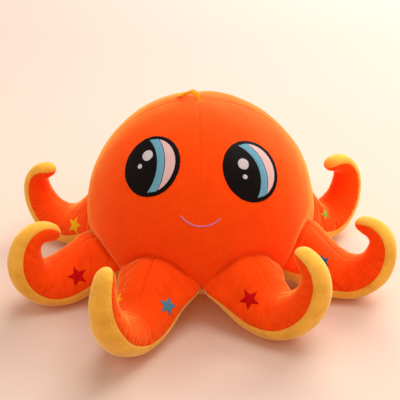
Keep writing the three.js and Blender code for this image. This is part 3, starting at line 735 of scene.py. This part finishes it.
def sewn_arm(arm):
    """A coarse skin of an arm with its cloth simulation: the seams and both ends are held."""
    sheet, shares = flat_grid(SIM_COLUMNS, SIM_ROWS)
    points = arm.point(share_at(shares[:, 1]), 360 * shares[:, 0])
    column_layer, row_layer = sheet.verts.layers.int.new("column"), sheet.verts.layers.int.new("row")
    for corner, point, (across, up) in zip(sheet.verts, points, shares):
        corner.co = Vector(point) * MM
        corner[column_layer], corner[row_layer] = round(across * SIM_COLUMNS), round(up * SIM_ROWS)
    weld(sheet, SIM_WELD)
    places = [(corner[column_layer] % SIM_COLUMNS, corner[row_layer]) for corner in sheet.verts]
    skin = add_object("sewn_" + arm.name, as_mesh("sewn_" + arm.name, sheet))
    held, spare = skin.vertex_groups.new(name="held"), skin.vertex_groups.new(name="spare")
    for index, (column, row) in enumerate(places):
        seam = column % (SIM_COLUMNS // 4) == 0 and column != 3 * SIM_COLUMNS // 4
        if seam or row < HELD_AT_ROOT or row > SIM_ROWS - HELD_AT_TIP:
            held.add([index], 1.0, "REPLACE")
        here = fullness(share_at(np.array([row / SIM_ROWS])), np.array([360 * column / SIM_COLUMNS]))
        spare.add([index], float(here[0]), "REPLACE")
    cloth = skin.modifiers.new("cloth", "CLOTH")
    for field, value in CLOTH.items():
        setattr(cloth.settings, field, value)
    cloth.settings.effector_weights.gravity = 0
    cloth.collision_settings.use_collision = False
    return skin, places


def blurred(table, passes):
    """A table of vectors by row and column, smoothed; columns run round the arm and close on themselves."""
    for _ in range(passes):
        table = (np.roll(table, 1, axis=1) + 2 * table + np.roll(table, -1, axis=1)) / 4
        padded = np.concatenate([table[:1], table, table[-1:]])
        table = (padded[:-2] + 2 * padded[1:-1] + padded[2:]) / 4
    return table


def simulate(skins):
    """Runs the cloth and gives each arm a table of how far its skin moved, in millimetres."""
    for step in range(1, SIM_FRAMES + 1):
        bpy.context.scene.frame_set(step)
    graph = bpy.context.evaluated_depsgraph_get()
    moved = {}
    for name, (skin, places) in skins.items():
        settled = skin.evaluated_get(graph).to_mesh()
        table = np.zeros((SIM_ROWS + 1, SIM_COLUMNS, 3))
        for (column, row), before, after in zip(places, skin.data.vertices, settled.vertices):
            table[row, column] = np.array(after.co - before.co) / MM
        size = np.linalg.norm(table, axis=-1, keepdims=True)
        table = table * np.minimum(1, SIM_CAP / np.maximum(size, 1e-9))
        table = blurred(table, NOISE_PASSES)
        moved[name] = table - (1 - SWELLING_KEPT) * blurred(table, SWELLING_PASSES)
    for skin, _ in skins.values():
        bpy.data.objects.remove(skin)
    bpy.context.scene.frame_set(1)
    return moved


arm_moves = simulate({arm.name: sewn_arm(arm) for arm in arms})


def settled(arm, along_share, angle):
    """How far the simulated cloth moved at places on an arm, between the places of the coarse skin."""
    if arm.name not in arm_moves:
        return 0
    table = arm_moves[arm.name]
    column, row = angle / 360 * SIM_COLUMNS, np.clip(along_share, 0, 1) * SIM_ROWS
    left, low = np.floor(column).astype(int), np.minimum(np.floor(row).astype(int), SIM_ROWS - 1)
    across, up = (column - left)[:, None], (row - low)[:, None]
    left, right = left % SIM_COLUMNS, (left + 1) % SIM_COLUMNS
    lower = table[low, left] * (1 - across) + table[low, right] * across
    upper = table[low + 1, left] * (1 - across) + table[low + 1, right] * across
    return lower * (1 - up) + upper * up


def arm_place(arm, share, angle, along_share):
    """Points of an arm's skin, and how dark the cloth is painted there: painted shade in its seams, round
    its root and in its gathers and folds.
    """
    plain = arm.point(share, angle)
    width, top, sole = arm.section(share)
    upper = sine(angle) > 0
    rise = np.where(upper, top, sole)
    quarter_arc = np.pi / 2 * np.sqrt((width**2 + rise**2) / 2)
    off_side = np.minimum(np.abs((angle + 90) % 180 - 90), 90)
    side_distance = quarter_arc * off_side / 90
    ridge_distance = quarter_arc * np.abs(angle - 90) / 90 + np.where(upper, 0, 100)
    fine = np.clip(width / FULL_RELIEF_WIDTH, FINEST, 1)
    pull = SIDE_GROOVE * fine * groove(side_distance / fine)
    ridge = (RIDGE_GROOVE / SEAM_GROOVE) * (1 - RIDGE_GROOVE_LOST * ease(share, *RIDGE_FADES))
    pull = np.maximum(pull, fine * ridge * groove(ridge_distance / fine))
    length = share * ARM_LENGTH * arm.length
    stitches = creases(np.stack([length / PUCKER_SPACING, 0 * length], axis=-1), arm.seed)
    pull = pull + PUCKER_DEPTH * stitches * np.exp(-np.minimum(side_distance, ridge_distance) / PUCKER_WIDTH)
    # Gathers run up from the side seams where the arm curls in, and more faintly over its top.
    curl = between(share, *GATHERS) * upper
    curl = curl * (GATHER_OVER_TOP * np.clip(sine(angle), 0, 1) + bell(off_side, GATHER_WIDTH))
    wander = soft_noise(plain, GATHER_WANDER, arm.seed)
    fan = length / GATHER_SPACING + 0.5 * np.abs(angle - 90) / 90 * wander
    gathers = curl * creases(np.stack([fan, np.radians(angle) * 0.7], axis=-1), arm.seed + 4)
    pull = pull + GATHER_DEPTH * gathers
    # A few deeper folds run up from the side seams near the root, where the stuffed arm bends up.
    bent = between(share, *FOLDS) * (1 - ease(off_side, *FOLDS_FADE)) * upper
    fold_places = np.stack([length / FOLD_SPACING + off_side / FOLD_SLANT, off_side / FOLD_LENGTH], axis=-1)
    folds = bent * creases(fold_places, arm.seed + 13)
    pull = pull + FOLD_DEPTH * folds
    # Short creases run out from the seam at the root, and the cloth is tucked in there.
    from_head = np.hypot(plain[:, 0], plain[:, 1]) - head_radius_at(plain[:, 2])
    root = np.exp(-np.maximum(from_head, 0) / ROOT_CREASE_REACH)
    girth = np.radians(angle) * GIRTH_RADIUS
    root_places = np.stack([girth / ROOT_CREASE_SPACING, length / ROOT_CREASE_LENGTH], axis=-1)
    pull = pull + ROOT_CREASE * root * creases(root_places, arm.seed + 9)
    tuck = ROOT_TUCK * np.clip(1 - from_head / ROOT_TUCK_WIDTH, 0, 1) ** 2
    tuck = tuck * ease(sine(angle), *ROOT_TUCK_RISE)
    lumps = ARM_LUMP * soft_noise(plain, ARM_LUMP_SIZE, arm.seed) * fine
    tip = 1 - TIP_CALM * ease(share, *TIP_CALMS)
    offset = (ARM_NAP * fine - pull + lumps) * tip - tuck
    points = arm.point(share, angle, offset) + settled(arm, along_share, angle)
    points[:, 2] = np.maximum(points[:, 2], 0)
    end = share > 0.9999
    if end.any():
        points[end] = points[end].mean(axis=0)
    # Painted shade along the seams, round the root and in the gathers and folds.
    seam = SIDE_MARK * bell(side_distance, SIDE_MARK_WIDTH)
    ridge_mark = RIDGE_MARK * (1 - RIDGE_MARK_LOST * ease(share, *RIDGE_FADES))
    seam = np.maximum(seam, ridge_mark * bell(ridge_distance, RIDGE_MARK_WIDTH))
    root_shade = ROOT_SHADE * np.clip(1 - np.abs(from_head) / ROOT_SHADE_WIDTH, 0, 1)
    seam = np.maximum(seam, root_shade * ease(sine(angle), *ROOT_SHADE_RISE))
    return points, np.maximum(seam, CREASE_SHADE * np.clip(np.maximum(gathers, folds), 0, 1))


def on_arm(piece, arm):
    """Bakes a piece's place into its mesh."""
    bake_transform(piece)


def make_arm(arm):
    """An arm's skin: a fine grid round and along it, closed at both ends."""

    def place(across, along_share):
        angle, share = arm_angles(across), share_at(along_share)
        points, seam = arm_place(arm, share, angle, along_share)
        return points, seam, np.stack([angle / 360, share], axis=-1)

    skin = grid_bmesh(ARM_COLUMNS, ARM_ROWS, place)
    weld(skin)
    bmesh.ops.holes_fill(skin, edges=skin.edges, sides=0)
    weave = skin.loops.layers.uv["weave"]

    def slot_of(face):
        """1 for the sole and 0 above the side seams: the weave layer keeps the share of the way round."""
        return 1 if sum(loop[weave].uv.x for loop in face.loops) / len(face.loops) > 0.5 else 0

    prefix = "arm_" + arm.name
    piece = finish_piece(prefix + "_cloth", skin, [ORANGE, YELLOW], None, slot_of)
    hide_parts(*(prefix + part for part in ("_fore_panel", "_aft_panel", "_sole_panel", "_filling")))
    return piece


arm_pieces = {arm.name: make_arm(arm) for arm in arms}

# Embroidery: each motif is a thin domed patch laid on the cloth below it
STITCH_HEIGHT, STITCH_ROUNDING = 0.9, 0.5
TUCK_DEPTH, TUCK_WIDTH = 0.4, 0.06
# How far above the cloth a motif's points are dropped from
FACE_DROP, STAR_DROP = 30, 14
# How far each layer of an eye lies above the cloth
CRESCENT_LIFT, BAND_LIFT, GLINT_LIFT = 0.1, 0.35, 0.4


def rounded(edge_distance):
    """The height of a patch at a distance from its edge: it rises from under the cloth and levels off."""
    dome = STITCH_HEIGHT * (1 - np.exp(-edge_distance / STITCH_ROUNDING))
    return dome - TUCK_DEPTH * np.exp(-edge_distance / TUCK_WIDTH)


class Place:
    """A flat frame square to the cloth at a point, whose points are dropped from a height onto the cloth."""

    def __init__(self, tree, point, normal, lean, drop):
        self.tree, self.point, self.normal, self.drop = tree, point, normal, drop
        right = unit(np.cross([0, 0, 1.0], normal))
        up = np.cross(normal, right)
        self.right = right * cosine(lean) + up * sine(lean)
        self.up = up * cosine(lean) - right * sine(lean)

    def lay(self, x, y, height, threads=None):
        """Points over the cloth, their seam marks of nothing, and their places in the pattern of threads."""
        points = []
        ray = Vector(-self.normal)
        for across, above, lift in zip(x, y, height):
            flat = self.point + self.right * across + self.up * above
            hit = self.tree.ray_cast(Vector((flat + self.normal * self.drop) * MM), ray)
            points.append(np.array(hit[0]) / MM + np.array(hit[1]) * lift)
        return np.array(points), 0 * x, np.stack([x, y] if threads is None else threads, axis=-1)

    def patch(self, name, columns, rows, put, colour, body="body"):
        """A piece of stitches in one colour of thread, from a grid that is put in place on the cloth."""
        sheet = grid_bmesh(columns, rows, put)
        return finish_piece(name, sheet, [THREADS[colour]], body, outward=lambda _: self.normal)


def face_place(around, height, lean):
    """A place on the crown of the head, by the angle round it and the height above the floor."""
    latitude = math.degrees(math.asin((height - HEAD_WIDEST_HEIGHT) / HEAD_CROWN))
    point = head_point(np.array([around]), np.array([90.0 - latitude]), 0)[0]
    out, up = cosine(latitude) * HEAD_CROWN, sine(latitude) * HEAD_RADIUS
    normal = unit(np.array([out * sine(around), -out * cosine(around), up]))
    return Place(head_tree, point, normal, lean, FACE_DROP)


def jagged(turns, seed, size):
    """The uneven ends of the stitches along an outline."""
    return np.array([size * noise.noise(Vector((turn, seed, 0.5))) for turn in turns])


def oval_patch(name, place, centre, width, height, colour, segments, rings, lift=0.0):
    """A filled oval of stitches about a centre in the place's own frame."""
    narrow = min(width, height)

    def put(across, along_share):
        turn = 2 * np.pi * across
        share = 1 - (1 - along_share) ** 2
        rough = 1 + jagged(turn * narrow / 1.6, width, 0.55) / (narrow / 2) * share
        x = centre[0] + width / 2 * share * np.cos(turn) * rough
        y = centre[1] + height / 2 * share * np.sin(turn) * rough
        return place.lay(x, y, rounded((1 - share) * narrow / 2) + lift)

    return place.patch(name, segments, rings, put, colour)


# Eye: a black oval, whose pupil is a large disc that reaches a distance past its middle
EYE_WIDTH, EYE_HEIGHT, EYE_OUTLINE = 70, 74, 4.5
FIELD_WIDE, FIELD_HIGH = EYE_WIDTH / 2 - EYE_OUTLINE, EYE_HEIGHT / 2 - EYE_OUTLINE
EYE_PUPIL_RADIUS, EYE_PUPIL_REACH = 46, 8
EYE_BAND, EYE_OVERLAP = 9.6, 0.8
EYE_GAZE_LEAN = 10
GAZE_COSINE, GAZE_SINE = cosine(EYE_GAZE_LEAN), sine(EYE_GAZE_LEAN)
LENS_COLUMNS, LENS_ROWS = 16, 110
GLINT, GLINT_CENTRE = 14, (-8, 9.5)
SMALL_GLINT, SMALL_GLINT_CENTRE = 6.5, (-12, -5.2)


def gaze_edge(grow, y):
    """How far right the pupil's large disc, grown by an amount, reaches at a height."""
    radius = EYE_PUPIL_RADIUS + grow
    return EYE_PUPIL_REACH - EYE_PUPIL_RADIUS + np.sqrt(np.maximum(radius * radius - y * y, 0))


def field_edge(y, side=1):
    """The right or left edge of the eye's inner oval, in the frame that leans with the gaze."""
    a, b, c, s = FIELD_WIDE, FIELD_HIGH, GAZE_COSINE, GAZE_SINE
    p, q = (c / a) ** 2 + (s / b) ** 2, 2 * y * c * s * (1 / b**2 - 1 / a**2)
    r = y * y * ((s / a) ** 2 + (c / b) ** 2) - 1
    return (-q + side * np.sqrt(np.maximum(q * q - 4 * p * r, 0))) / (2 * p)


def lens_patch(name, place, left, right, colour, lift):
    """Stitches between two upright curves, from the lowest to the highest place where they are apart."""
    reach = math.hypot(FIELD_WIDE * GAZE_SINE, FIELD_HIGH * GAZE_COSINE)
    heights = np.linspace(-reach, reach, 800)[1:-1]
    open_heights = heights[right(heights) - left(heights) > 0.25]
    low, high = open_heights.min(), open_heights.max()

    def put(across, along_share):
        y = low + (high - low) * (0.5 - 0.5 * np.cos(np.pi * along_share))
        y = y + jagged(across * 7 + along_share * 50, 3.0, 0.2)
        first, last = left(y), np.maximum(right(y), left(y) + 0.05)
        part = 0.5 - 0.5 * np.cos(np.pi * across)
        ragged = jagged(along_share * 90, 8.0 + first.mean(), 0.25) * (2 * part - 1)
        x = first + (last - first) * part + ragged
        edge = np.minimum(np.minimum(part, 1 - part) * (last - first), np.minimum(y - low, high - y) + 0.02)
        flat_x, flat_y = GAZE_COSINE * x - GAZE_SINE * y, GAZE_SINE * x + GAZE_COSINE * y
        return place.lay(flat_x, flat_y, rounded(np.maximum(edge, 0)) + lift, [x, y])

    return place.patch(name, LENS_COLUMNS, LENS_ROWS, put, colour)


def make_eye(side, around, height, lean):
    """An eye: black field and outline, blue band, pink crescent and two glints, each sewn over the last."""
    place, upright = face_place(around, height, lean), face_place(around, height, 0)
    name = side + "_eye_"
    black = oval_patch(name + "black_stitches", place, (0, 0), EYE_WIDTH, EYE_HEIGHT, "black", 240, 60)
    band = lens_patch(
        name + "blue_stitches", place, lambda y: np.maximum(gaze_edge(0, y), field_edge(y, -1)),
        lambda y: np.minimum(gaze_edge(EYE_BAND, y), field_edge(y)), "eye_blue", BAND_LIFT,
    )
    crescent = lens_patch(
        name + "pink_stitches", place, lambda y: gaze_edge(EYE_BAND - EYE_OVERLAP, y), field_edge,
        "eye_pink", CRESCENT_LIFT,
    )

    def glint(end, centre, size, *grid):
        return oval_patch(name + end, upright, centre, size, size, "white", *grid, GLINT_LIFT)

    large = glint("glint_stitches", GLINT_CENTRE, GLINT, 60, 14)
    small = glint("small_glint_stitches", SMALL_GLINT_CENTRE, SMALL_GLINT, 40, 10)
    for piece, node, slot in (
        (black, "black", "black_thread"),
        (band, "blue_band", "blue_thread"),
        (crescent, "pink_crescent", "pink_thread"),
        (large, "glint", "white_thread"),
        (small, "small_glint", "white_thread"),
    ):
        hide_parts(name + node)


EYE_AROUND, EYE_LEAN = 33.2, 11
LEFT_EYE_HEIGHT, RIGHT_EYE_HEIGHT = 179, 173
make_eye("left", -EYE_AROUND, LEFT_EYE_HEIGHT, EYE_LEAN)
make_eye("right", EYE_AROUND, RIGHT_EYE_HEIGHT, -EYE_LEAN)

MOUTH_WIDTH, MOUTH_DEPTH, MOUTH_LINE = 45, 10.5, 2.2
MOUTH_HEIGHT, MOUTH_LEAN = 134.5, -4.5


def make_mouth():
    """The mouth: one curved line of stitches, thinner towards its ends."""
    place = face_place(0, MOUTH_HEIGHT, MOUTH_LEAN)
    half = MOUTH_WIDTH / 2
    radius = (half * half + MOUTH_DEPTH * MOUTH_DEPTH) / (2 * MOUTH_DEPTH)
    spread = math.asin(half / radius)

    def put(across, along_share):
        turn = -np.pi / 2 + spread * (2 * along_share - 1)
        part = np.cos(np.pi * across)
        near_end = np.minimum(along_share, 1 - along_share) * 2 * spread * radius
        line = MOUTH_LINE / 2 * np.sqrt(np.clip(near_end / 1.1, 0, 1)) + jagged(along_share * 60, 1.0, 0.1)
        reach = radius + line * part
        x, y = reach * np.cos(turn), radius - MOUTH_DEPTH + reach * np.sin(turn)
        rise = 1.15 * STITCH_HEIGHT * np.sqrt(np.clip(1 - part**2, 0, 1)) - 0.15
        return place.lay(x, y, rise, [radius * turn, reach - radius])

    piece = place.patch("mouth_stitches", 10, 150, put, "mauve")
    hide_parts("mouth_line")


make_mouth()

STAR_RADIUS, STAR_WAIST, STAR_CORNERS = 13, 5.8, 10
FAR_STAR_SIZE = 0.9
# A small step along an arm, as a share of it, that shows which way it runs
STAR_STEP = 0.004
# How far each arm's star is turned in degrees, its size, and the arm's share and angle of its far star
STARS = {
    "front_left": (-39, 0.92, 0.371, 33),
    "side_left": (20, 1, 0.377, 20),
    "rear_left": (0, 1, 0.34, 20),
    "back_left": (-9, 1, 0.35, 38),
    "back_right": (12, 1, 0.35, 142),
    "rear_right": (-8, 0.68, 0.34, 143),
    "side_right": (5, 0.75, 0.373, 155),
    "front_right": (34, 1, 0.34, 172),
}


def make_star(arm, share, angle, size, turned, colour, name):
    """An embroidered star that is laid on the arm's cloth round a place on its side."""
    middle, round_angle = np.array([share]), np.array([float(angle)])
    here = arm.point(middle, round_angle)[0]
    forward = (arm.point(middle + STAR_STEP, round_angle)[0] - here) / STAR_STEP
    normal = unit(np.cross(forward, arm.point(middle, round_angle + 1)[0] - here))
    if normal @ (here - arm.spot(middle)[0][0]) < 0:
        normal = -normal
    place = Place(surface_tree(arm_pieces[arm.name]), here, normal, turned, STAR_DROP)
    turns = np.pi * np.arange(STAR_CORNERS) / (STAR_CORNERS // 2)
    radii = np.array([STAR_RADIUS, STAR_WAIST] * (STAR_CORNERS // 2)) * size
    corners = radii * np.array([-np.sin(turns), np.cos(turns)])

    def put(across, along_share):
        corner = np.floor(across * STAR_CORNERS)
        index, part = corner.astype(int) % STAR_CORNERS, across * STAR_CORNERS - corner
        outline = corners[:, index] * (1 - part) + corners[:, (index + 1) % STAR_CORNERS] * part
        share_out = 1 - (1 - along_share) ** 1.8
        x, y = outline * (1 + jagged(across * 60, turned, 0.05)) * share_out
        return place.lay(x, y, rounded((1 - share_out) * STAR_WAIST * size * 0.8))

    piece = place.patch("star_" + name + "_stitches", 60, 12, put, colour, None)
    on_arm(piece, arm)
    return piece


for arm in arms:
    turned, size, far_share, far_angle = STARS[arm.name]
    star = make_star(arm, arm.star_share, arm.star_angle, size, turned, arm.front_colour, arm.name)
    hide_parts("star_" + arm.name)
    make_star(arm, far_share, far_angle, FAR_STAR_SIZE, -turned, arm.far_colour, arm.name + "_far_side")
for arm in arms:
    on_arm(arm_pieces[arm.name], arm)

# Hanging loop: a twisted satin cord
CORD, CORD_TWIST, PLIES, PLY_DEPTH = 3, 7, 3, 0.1
LOOP_REACH, LOOP_RISE, LOOP_SPREAD, LOOP_FOOT_SPREAD = 29, 6.5, 9, 3.6
LOOP_DIRECTION = -125
LOOP_STEPS, LOOP_SIDES = 140, 36
# Shares of the loop's reach, rise and spread at each knot of a strand, from its foot
STRAND = [(0, -0.6, 0), (0.12, 0.5, 0.05), (0.3, 1, 0.2), (0.52, 0.75, 0.7), (0.76, 0.2, 1), (0.94, 0, 0.6)]


def loop_route():
    """The cord's middle line: up out of the crown seam as one strand, over, and back as the other."""
    away = np.array([sine(LOOP_DIRECTION), -cosine(LOOP_DIRECTION), 0])
    across = np.cross([0, 0, 1.0], away)
    clear = CORD / 2 + SEAM_GAP

    def knot(reach, rise, sideways):
        point = away * LOOP_REACH * reach + across * sideways
        crown = HEAD_WIDEST_HEIGHT + HEAD_CROWN * math.sqrt(1 - (LOOP_REACH * reach / HEAD_RADIUS) ** 2)
        point[2] = crown + clear + LOOP_RISE * rise
        return point

    def strand(side):
        wider = LOOP_SPREAD - LOOP_FOOT_SPREAD
        halves = [side * (LOOP_FOOT_SPREAD + wider * spread) / 2 for _, _, spread in STRAND]
        return [knot(reach, rise, half) for (reach, rise, _), half in zip(STRAND, halves)]

    knots = [*strand(-1), knot(1, 0, 0), *reversed(strand(1))]
    shares = np.linspace(0, 1, LOOP_STEPS + 1)
    return np.stack([along([place[axis] for place in knots], shares) for axis in range(3)], axis=-1)


def make_loop():
    """The cord along its route, in twisted plies that leave shallow valleys."""
    route = loop_route()
    tangent = np.gradient(route, axis=0)
    tangent /= np.linalg.norm(tangent, axis=1)[:, None]
    side = np.cross(tangent, np.array([0.2, 0.3, 1.0]))
    side /= np.linalg.norm(side, axis=1)[:, None]
    up = np.cross(side, tangent)
    length = np.concatenate([[0], np.cumsum(np.linalg.norm(np.diff(route, axis=0), axis=1))])

    def put(across, along_share):
        index = np.round(along_share * LOOP_STEPS).astype(int)
        turn = 2 * np.pi * across
        twist = 2 * np.pi * length[index] / CORD_TWIST
        radius = CORD / 2 * (0.94 + PLY_DEPTH * np.abs(np.sin(PLIES / 2 * (turn - twist))))
        round_way = side[index] * np.cos(turn)[:, None] + up[index] * np.sin(turn)[:, None]
        points = route[index] + round_way * radius[:, None]
        return points, 0 * turn, np.stack([length[index], turn], axis=-1)

    sheet = grid_bmesh(LOOP_SIDES, LOOP_STEPS, put)
    weld(sheet)
    bmesh.ops.holes_fill(sheet, edges=sheet.edges, sides=40)
    piece = finish_piece("hanging_loop_cord", sheet, [CORD_THREAD], "loop")
    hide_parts("hanging_loop")


make_loop()

# Set: a pale floor that runs up into a pale backdrop, soft light, and the camera
CAMERA_TARGET = Vector((-0.54, 0, 91.32)) * MM
CAMERA_DISTANCE = 1428.4 * MM
CAMERA_ELEVATION = math.radians(26.59)
CAMERA_ROLL = math.radians(-0.71)
CAMERA_LENS = 104.0
FLOOR_HALF_WIDTH, FLOOR_REACH, FLOOR_SHARE = 6, 3, 0.6
BACKDROP_RADIUS = 2.5
FLOOR_DROP = 0.0004
# Area lights: place in metres, height aimed at, size in metres, power in watts, colour
LIGHTS = {
    "window_behind_and_above": ((1.2, 2.2, 1.6), 0.12, 2.6, 145, "#FFF8F0"),
    "soft_front": ((-0.4, -2.1, 1.5), 0.06, 2.0, 10, "#FFFAF4"),
    "soft_right": ((1.9, -0.5, 1.3), 0.1, 1.5, 9.5, "#FFF4E8"),
    "soft_left": ((-2.1, 0.5, 1.1), 0.1, 1.5, 12, "#FFF4E8"),
    "soft_above": ((0.3, -0.1, 2.2), 0.05, 1.4, 21, "#FFFAF4"),
}


def make_stage():
    """The floor and backdrop, in one sheet."""
    sheet = bmesh.new()
    bmesh.ops.create_grid(sheet, x_segments=8, y_segments=60, size=1)
    for corner in sheet.verts:
        run = (corner.co.y + 1) / 2
        corner.co.x *= FLOOR_HALF_WIDTH
        if run < FLOOR_SHARE:
            corner.co.y, corner.co.z = -FLOOR_REACH + 2 * FLOOR_REACH * run / FLOOR_SHARE, 0
        else:
            turn = (run - FLOOR_SHARE) / (1 - FLOOR_SHARE) * math.pi / 2
            corner.co.y = FLOOR_REACH + BACKDROP_RADIUS * math.sin(turn)
            corner.co.z = BACKDROP_RADIUS * (1 - math.cos(turn))
        corner.co.z -= FLOOR_DROP
    for face in sheet.faces:
        face.smooth = True
    floor = add_object("floor", as_mesh("floor", sheet))
    material, tree, shader = new_material("pale_studio_paper")
    place = add_node(tree, "TexCoord").outputs["Object"]
    back = add_node(tree, "SeparateXYZ", {}, {"Vector": place}).outputs["Y"]
    near = mix(tree, remap(tree, back, 0.1, 0.9), "#D4C0B4", "#C6B4AC")
    colour = mix(tree, remap(tree, back, 1.2, 2.2), near, "#CEC4C4")
    # Close to the toy, where the floor is covered, it glows orange: painted light for the orange light that
    # the toy throws onto the table top.
    open_sky = add_node(tree, "AmbientOcclusion", {"Distance": 0.16}, samples=8).outputs["AO"]
    painted_glow_share = add_node(tree, "Math", {0: 1.0}, {1: open_sky}, operation="SUBTRACT").outputs["Value"]
    links = {"Base Color": colour, "Emission Strength": scaled(tree, painted_glow_share, 0.12)}
    wire(tree, shader, {"Roughness": 0.9, "Emission Color": linear("#FF7012")}, links)
    floor.data.materials.append(material)


def make_camera():
    data = bpy.data.cameras.new("camera")
    data.lens = CAMERA_LENS
    data.sensor_width = 36
    data.sensor_fit = "HORIZONTAL"
    camera = add_object("camera", data)
    back = Vector((0, -math.cos(CAMERA_ELEVATION), math.sin(CAMERA_ELEVATION)))
    right = Vector((1, 0, 0))
    up = back.cross(right)
    c, s = math.cos(CAMERA_ROLL), math.sin(CAMERA_ROLL)
    right, up = c * right + s * up, -s * right + c * up
    turned = Matrix((right, up, back)).transposed().to_4x4()
    camera.matrix_world = Matrix.Translation(CAMERA_TARGET + back * CAMERA_DISTANCE) @ turned
    bpy.context.scene.camera = camera


def add_light(name, place, aimed_height, size, power, colour):
    data = bpy.data.lights.new(name, "AREA")
    data.size = size
    data.energy = power
    data.color = linear(colour)[:3]
    light = add_object(name, data)
    light.location = place
    away = Vector((0, 0, aimed_height)) - Vector(place)
    light.rotation_euler = away.to_track_quat("-Z", "Y").to_euler()


def make_lights():
    for name, light in LIGHTS.items():
        add_light(name, *light)
    world = bpy.data.worlds.new("studio")
    world.use_nodes = True
    background = world.node_tree.nodes["Background"]
    wire(world.node_tree, background, {"Color": linear("#FFE6D2"), "Strength": 0.375}, {})
    bpy.context.scene.world = world
    bpy.context.scene.view_settings.view_transform = "Standard"


make_stage()
make_camera()
make_lights()
